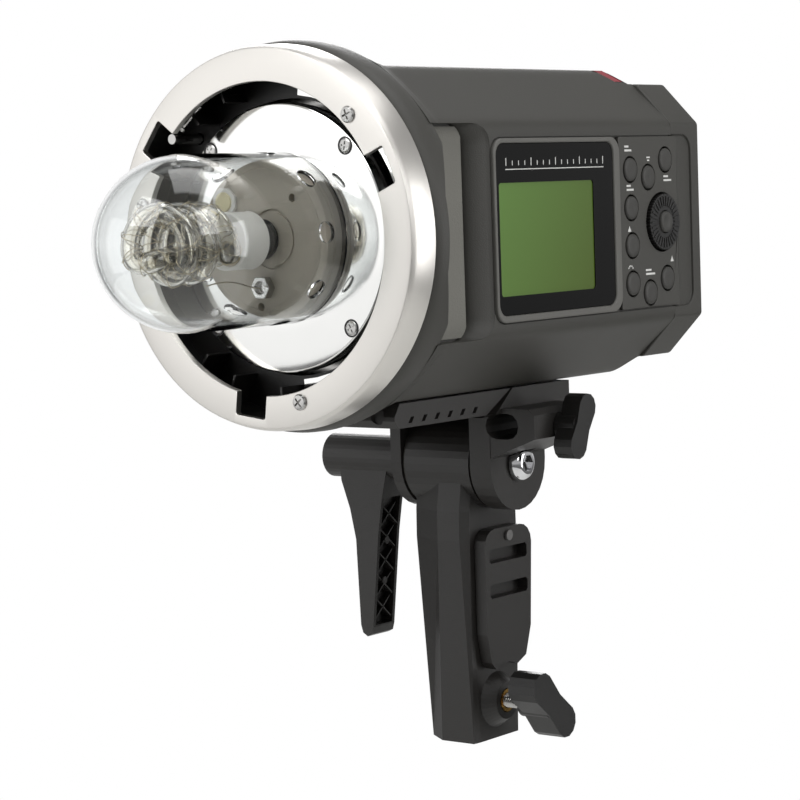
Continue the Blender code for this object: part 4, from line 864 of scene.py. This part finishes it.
# keypad: a moulded plate with a ring groove round every key
keys = {"mode": (0.0378, 0.2326), "beep": (0.0513, 0.2293), "group": (0.0647, 0.2363),
        "menu": (0.0380, 0.2170), "sync": (0.0382, 0.2016), "lamp": (0.0380, 0.1860),
        "power": (0.0511, 0.1817), "test": (0.0646, 0.1871)}
pad = {"low": (0.0293, 0.1757), "high": (0.0737, 0.2460), "corner": 0.0012, "back": 0.0602, "face": 0.0619,
       "key": 0.0048, "groove": 0.00545, "dial": (0.0613, 0.2106)}
plateShape = roundBox(*pad["low"], *pad["high"], pad["corner"], 4)
plate = keepMesh("keypadPlate", slab(plateShape, pad["back"], pad["face"], "YZ"), panelAbs)
cuts = bmesh.new()
for y, z in keys.values():
    cuts = merge(cuts, rod(pad["groove"], (0.0560, y, z), (1, 0, 0), 0.0120, 64))
cuts = merge(cuts, rod(0.0123, (0.0560, *pad["dial"]), (1, 0, 0), 0.0120, 120))
carve(plate, cuts)
resharpen(roundEdges(plate, 0.0003, 2, 40), 35)
settle(plate, "head", ["keypad_plate"])
floorShape = [(0.0298, 0.1765), (0.0730, 0.1765), (0.0730, 0.2455), (0.0298, 0.2455)]
settle(keepMesh("keypadFloor", slab(floorShape, 0.0562, 0.0566, "YZ"), trayNylon), "head")
for keyName, (y, z) in keys.items():
    cap = [(0, 0), (0.0046, 0), (pad["key"], 0.0002), (pad["key"], 0.0041), (0.00462, 0.0046),
           (0.0042, 0.00485), (0.0034, 0.0050), (0.0018, 0.00495), (0, 0.0049)]
    key = keepMesh(f"{keyName}Key", lathe(cap, (0.0576, y, z), (1, 0, 0), 72), keyRubber, 50)
    settle(key, f"{keyName}_key", [f"{keyName}_button"])

# control dial: knurled skirt, radial ribs on its face and a dished push button in the middle
dial = {"radius": 0.0117, "teeth": 54, "tooth": 0.0004, "back": 0.0584, "face": 0.0634, "hole": 0.00475}
count = dial["teeth"] * 4
outline, hole = [], []
dialY, dialZ = pad["dial"]
for i in range(count):
    reach = dial["radius"] - (dial["tooth"] if i % 4 in (0, 1) else 0)
    turn = 2 * math.pi * i / count
    outline.append((dialY + reach * math.cos(turn), dialZ + reach * math.sin(turn)))
    hole.append((dialY + dial["hole"] * math.cos(turn), dialZ + dial["hole"] * math.sin(turn)))
knob = slab(outline, dial["back"], dial["face"], "YZ", hole)
for i in range(30):
    rib = block((-0.0003, 0.0066, -0.00042), (0.0004, 0.0107, 0.00042))
    ribTurn = Matrix.Rotation(math.radians(12 * i), 4, "X")
    rib.transform(Matrix.Translation((dial["face"], dialY, dialZ)) @ ribTurn)
    knob = merge(knob, rib)
controlDial = keepMesh("controlDial", knob, knobNylon, 30)
settle(roundEdges(controlDial, 0.0002, 2), "dial", ["control_dial"])
cap = [(0, 0), (0.0043, 0), (0.0044, 0.0002), (0.0044, 0.0052), (0.0041, 0.0057), (0.0034, 0.0059),
       (0.0020, 0.0056), (0, 0.0054)]
settle(keepMesh("setKey", lathe(cap, (0.0586, *pad["dial"]), (1, 0, 0), 72), keyRubber, 50), "set_key",
       ["set_button"])

# plain printed marks, one beside each key, and a tick scale across the top of the glass
marks = bmesh.new()
inkDepth = 0.00006


def ink(outlinePoints, x):
    merge(marks, slab(outlinePoints, x, x + inkDepth, "YZ"))


def bar(y, z, wide, tall, x):
    ink([(y - wide / 2, z - tall / 2), (y + wide / 2, z - tall / 2), (y + wide / 2, z + tall / 2),
         (y - wide / 2, z + tall / 2)], x)


for number in range(17):
    long = number % 4 == 0
    bar(-0.0500 + number * 0.0042, 0.2365 + (0.0004 if long else 0), 0.00045, 0.0030 if long else 0.0018,
        glass["face"])
bar(-0.0164, 0.2341, 0.0680, 0.00035, glass["face"])
for y, z, wide in ((0.0362, 0.2404, 0.0052), (0.0372, 0.2244, 0.0052), (0.0660, 0.2278, 0.0060),
                   (0.0511, 0.1895, 0.0070)):
    bar(y, z, wide, 0.0008, pad["face"])
    bar(y - wide * 0.2, z + 0.0016, wide * 0.6, 0.0008, pad["face"])
bar(0.0515, 0.2374, 0.0026, 0.0006, pad["face"])
bar(0.0515, 0.2362, 0.0016, 0.0006, pad["face"])
for y, z in ((0.0360, 0.2084), (0.0682, 0.1950)):
    ink([(y - 0.0012, z - 0.0011), (y + 0.0012, z - 0.0011), (y, z + 0.0013)], pad["face"])
for number in range(5):
    turn = math.radians(30 + 30 * number)
    y, z = 0.0362 + 0.0018 * math.cos(turn), 0.1916 + 0.0018 * math.sin(turn)
    ink(arc(y, z, 0.0004, 0, 288, 4), pad["face"])
settle(keepMesh("panelMarks", marks, markInk), "head")
print("display side made")


# ---- back and battery side ----

def octagonLoop(y, side, top, corner):
    (ax, az), (bx, bz) = side, top
    points = [(ax, -az), (ax, az), (bx, bz), (-bx, bz), (-ax, az), (-ax, -az), (-bx, -bz), (bx, -bz)]
    return [(x, y, lampZ + z) for x, z in fillet(points, corner, 4)]


cover = {"front": 0.0703, "full": 0.0918, "back": 0.0963, "side": (0.0614, 0.0404), "top": (0.0450, 0.0574),
         "endSide": (0.0584, 0.0384), "endTop": (0.0420, 0.0544), "corner": 0.0022}
rows = [octagonLoop(cover["front"], cover["side"], cover["top"], cover["corner"]),
        octagonLoop(cover["full"], cover["side"], cover["top"], cover["corner"]),
        octagonLoop(cover["back"], cover["endSide"], cover["endTop"], cover["corner"])]
rearCover = keepMesh("rearCover", skin(rows), casingAbs)
slots = bmesh.new()
for number in range(6):
    low = lampZ + 0.0100 + 0.0055 * number - 0.0013
    slots = merge(slots, slab(roundBox(-0.0250, low, 0.0250, low + 0.0026, 0.0012, 4), 0.0900, 0.0980, "XZ"))
carve(rearCover, slots)
portLow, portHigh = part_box("port_panel")
portCut = roundBox(portLow.x - 0.0003, portLow.z - 0.0003, portHigh.x + 0.0003, portHigh.z + 0.0003,
                   0.0015, 4)
carve(rearCover, slab(portCut, portLow.y - 0.0003, 0.0990, "XZ"))
carve(rearCover, slab(panelCut, 0.0602, 0.0750, "YZ"))
carve(rearCover, slab([(x * 1.02, lampZ + z * 0.92) for x, z in hollow], 0.0660, 0.0905, "XZ"))
resharpen(roundEdges(rearCover, 0.0006, 2, 25), 30)
settle(rearCover, "head", ["rear_cover"])

packShape = roundBox(packLow.y, packLow.z, packHigh.y, packHigh.z, 0.0030, 6)
pack = keepMesh("batteryPack", slab(packShape, packLow.x, packHigh.x, "YZ"), casingAbs)
latchLow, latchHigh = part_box("battery_latch")
latchCut = roundBox(latchLow.y - 0.0010, latchLow.z - 0.0010, latchHigh.y + 0.0050, latchHigh.z + 0.0010,
                    0.0012, 4)
grooves = slab(latchCut, packLow.x - 0.0010, latchHigh.x + 0.0002, "YZ")
for number in range(6):
    z = 0.1935 + number * 0.0070
    grooves = merge(grooves, slab(roundBox(-0.0430, z, -0.0200, z + 0.0022, 0.0010, 4), packLow.x - 0.001,
                                  packLow.x + 0.0009, "YZ"))
carve(pack, grooves)
resharpen(roundEdges(pack, 0.0006, 3, 40), 35)
settle(pack, "battery", ["battery_pack"])
latch = slab(roundBox(latchLow.y, latchLow.z, latchHigh.y, latchHigh.z, 0.0010, 4), latchLow.x + 0.0006,
             latchHigh.x, "YZ")
for number in range(4):
    y = latchLow.y + 0.0010 + number * 0.0012
    latch = merge(latch, block((latchLow.x, y, latchLow.z + 0.0012), (latchLow.x + 0.0010, y + 0.0005,
                                                                     latchHigh.z - 0.0012)))
batteryLatch = keepMesh("batteryLatch", latch, gripRubber)
settle(roundEdges(batteryLatch, 0.0002, 2), "latch", ["battery_latch"])
print("back and battery made")


# ---- clamp and screws ----

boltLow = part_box("tilt_bolt")[0]
bolt = {"shank": 0.0040, "seat": 0.0285, "head": 0.0073, "rise": 0.0046, "key": 0.0036}
boltProfile = [(0, boltLow.x), (0.0037, boltLow.x), (bolt["shank"], boltLow.x + 0.0004),
               (bolt["shank"], bolt["seat"]), (0.0070, bolt["seat"]), (bolt["head"], 0.0288),
               (bolt["head"], 0.0300), (0.0069, 0.0313), (0.0060, 0.0323), (0.0048, 0.0329),
               (0.0042, bolt["seat"] + bolt["rise"]), (0, bolt["seat"] + bolt["rise"])]
tiltBolt = keepMesh("tiltBolt", lathe(boltProfile, (0, 0, tiltZ), (1, 0, 0), 96), chromedSteel, 40)
carve(tiltBolt, slab(hexagon(bolt["key"], 0, tiltZ), 0.0298, 0.0350, "YZ"))
resharpen(tiltBolt, 30)
settle(tiltBolt, "head", ["tilt_bolt"])


def threadedRod(radius, deep, pitch, start, length, sides=40, rowsPerTurn=8):
    # a rolled thread: the radius falls and rises once in every pitch, and once round
    rows = []
    steps = int(length / pitch * rowsPerTurn)
    for row in range(steps + 1):
        x = length * row / steps
        ring = []
        for i in range(sides):
            share = (x / pitch - i / sides) % 1
            valley = deep * abs(2 * share - 1)
            reach = radius - (deep if row in (0, steps) else valley)
            turn = 2 * math.pi * i / sides
            ring.append(start + Vector((x, reach * math.cos(turn), reach * math.sin(turn))))
        rows.append(ring)
    return skin(rows)


for bodyName, screwName, pieceName in (("stand_clamp", "stand_screw", "standScrew"),
                                       ("umbrella_clamp", "umbrella_screw", "umbrellaScrew")):
    low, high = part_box(screwName)
    start = Vector((low.x, (low.y + high.y) / 2, (low.z + high.z) / 2))
    thread = threadedRod((high.z - low.z) / 2, 0.00055, 0.0010, start, high.x - low.x)
    settle(keepMesh(pieceName, thread, platedSteel, 20), bodyName, [screwName])

# the lever's pocket is stiffened by crossed ribs and two ejector bosses
lever = {"low": 0.0455, "high": 0.0960, "cells": 5, "left": -0.0063, "right": 0.0053, "rib": 0.0008,
         "boss": 0.0017}


def leverDepth(z):
    # floor of the pocket and edge of the blade, in X, at a height
    share = min(1, max(0, (z - 0.0433) / 0.0400))
    upper = max(0, (z - 0.0833) / 0.0147)
    return -0.0487 + 0.0045 * share + 0.0040 * upper, -0.0441 + 0.0045 * share + 0.0024 * upper


ribs = bmesh.new()
cell = (lever["high"] - lever["low"]) / lever["cells"]
half = lever["rib"] / 2
for number in range(lever["cells"]):
    low = lever["low"] + cell * number
    high = low + cell
    floorX, edgeX = leverDepth((low + high) / 2)
    for first, last in ((lever["left"], lever["right"]), (lever["right"], lever["left"])):
        strip = [(first, low - half), (last, high - half), (last, high + half), (first, low + half)]
        ribs = merge(ribs, slab(strip, floorX, edgeX - 0.0010, "YZ"))
for z in (0.0620, 0.0795):
    floorX, edgeX = leverDepth(z)
    ribs = merge(ribs, softRod(lever["boss"], (floorX, (lever["left"] + lever["right"]) / 2, z), (1, 0, 0),
                               edgeX - 0.0006 - floorX, 0.0003, 40))
settle(keepMesh("leverRibs", ribs, handleNylon), "lever")

# moulded web behind the two slots of the handle's cover
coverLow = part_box("handle_cover")[0]
web = roundBox(-0.0115, 0.0560, 0.0182, 0.0830, 0.0020, 4)
coverWeb = keepMesh("coverWeb", slab(web, coverLow.x - 0.0016, coverLow.x + 0.0002, "YZ"), handleNylon)
settle(roundEdges(coverWeb, 0.0003, 2), "handle")
print("clamp and screws made")


# ---- studio ----

def floorMaterial():
    # matt white sweep paper with a barely visible fibre
    material, tree, shader, place = startMaterial("sweepPaper", Roughness=0.9)
    fibre = addNode(tree, "ShaderNodeTexNoise", {"Scale": 40.0, "Detail": 6.0}, {"Vector": place})
    tone = between(tree, fibre.outputs["Fac"], linear("#d9d9d7"), linear("#e2e2e0"))
    tree.links.new(tone, shader.inputs["Base Color"])
    return material


floorHeight = -0.50
floorProfile = [(0, -0.01), (1.5, -0.01), (1.5, 0), (0, 0)]
floor = keepMesh("studioFloor", lathe(floorProfile, (0, 0, floorHeight), (0, 0, 1), 128), floorMaterial())


def aim(thing, spot, target):
    facing = (Vector(spot) - Vector(target)).to_track_quat("Z", "Y")
    thing.matrix_world = Matrix.LocRotScale(Vector(spot), facing, None)


def softbox(name, spot, target, wide, tall, watts):
    light = bpy.data.lights.new(name, "AREA")
    light.shape, light.size, light.size_y, light.energy = "RECTANGLE", wide, tall, watts
    lightObject = bpy.data.objects.new(name, light)
    bpy.context.scene.collection.objects.link(lightObject)
    aim(lightObject, spot, target)


# where the camera stands, and its turns in degrees
view = {"spot": (0.6389, -0.8648, 0.2301), "azimuth": 37.79, "elevation": 4.744, "roll": -1.954,
        "lens": 117.27}
middle = (0, -0.02, 0.17)
softbox("metalSoftbox", (-0.85, -1.20, 0.22), middle, 1.5, 1.3, 5.6)
softbox("keySoftbox", (-0.20, -1.20, 1.15), middle, 0.9, 0.9, 10)
softbox("sideSoftbox", (1.45, -0.35, 0.95), middle, 0.7, 0.9, 7)
softbox("rimSoftbox", (1.35, 0.72, 0.30), middle, 0.55, 1.0, 6)
softbox("topSoftbox", (0.2, 0.2, 1.5), middle, 1.1, 1.1, 8)
softbox("backStrip", (-0.9, 1.1, 0.7), middle, 0.4, 1.2, 8)

# a white wall behind the object, as the camera sees it, and a dim room all round it
world = bpy.data.worlds.new("studioWhite")
world.use_nodes = True
background = world.node_tree.nodes["Background"]
viewTurn = math.radians(view["azimuth"])
awayFromCamera = (-math.sin(viewTurn), math.cos(viewTurn), 0)
sky = world.node_tree
direction = addNode(sky, "ShaderNodeTexCoord").outputs["Generated"]
toWall = addNode(sky, "ShaderNodeVectorMath", {1: awayFromCamera}, {0: direction}, operation="DOT_PRODUCT")
fade = addNode(sky, "ShaderNodeMapRange", {"From Min": 0.76, "From Max": 0.93},
               {"Value": toWall.outputs["Value"]}, interpolation_type="SMOOTHSTEP")
parts = addNode(sky, "ShaderNodeSeparateXYZ", {}, {0: direction})
height = addNode(sky, "ShaderNodeMapRange", {"From Min": -1.0, "From Max": 1.0},
                 {"Value": parts.outputs["Z"]})
walls = addNode(sky, "ShaderNodeValToRGB", {}, {"Fac": height.outputs["Result"]})
for place, level in ((0.5, 0.46), (0.42, 0.16)):
    walls.color_ramp.elements.new(place).color = (level, level, level, 1)
walls.color_ramp.elements[0].color = (0.05, 0.05, 0.05, 1)
walls.color_ramp.elements[3].color = (0.20, 0.20, 0.20, 1)
studio = addNode(sky, "ShaderNodeMix", {}, {"Factor": fade.outputs["Result"]}, data_type="RGBA")
studio.inputs[7].default_value = (1, 1, 1, 1)
sky.links.new(walls.outputs["Color"], studio.inputs[6])
sky.links.new(studio.outputs[2], background.inputs["Color"])
bpy.context.scene.world = world
bpy.context.scene.view_settings.view_transform = "Standard"

a, e, r = (math.radians(view[k]) for k in ("azimuth", "elevation", "roll"))
backward = Vector((math.sin(a) * math.cos(e), -math.cos(a) * math.cos(e), math.sin(e)))
right = Vector((math.cos(a), math.sin(a), 0))
upward = backward.cross(right)
tiltedRight = right * math.cos(r) + upward * math.sin(r)
tiltedUp = upward * math.cos(r) - right * math.sin(r)
camera = bpy.data.objects.new("camera", bpy.data.cameras.new("camera"))
camera.data.lens, camera.data.sensor_width = view["lens"], 36
camera.data.clip_start, camera.data.clip_end = 0.05, 30
turn = Matrix((tiltedRight, tiltedUp, backward)).transposed().to_4x4()
camera.matrix_world = Matrix.Translation(view["spot"]) @ turn
bpy.context.scene.collection.objects.link(camera)
bpy.context.scene.camera = camera
print("studio ready")
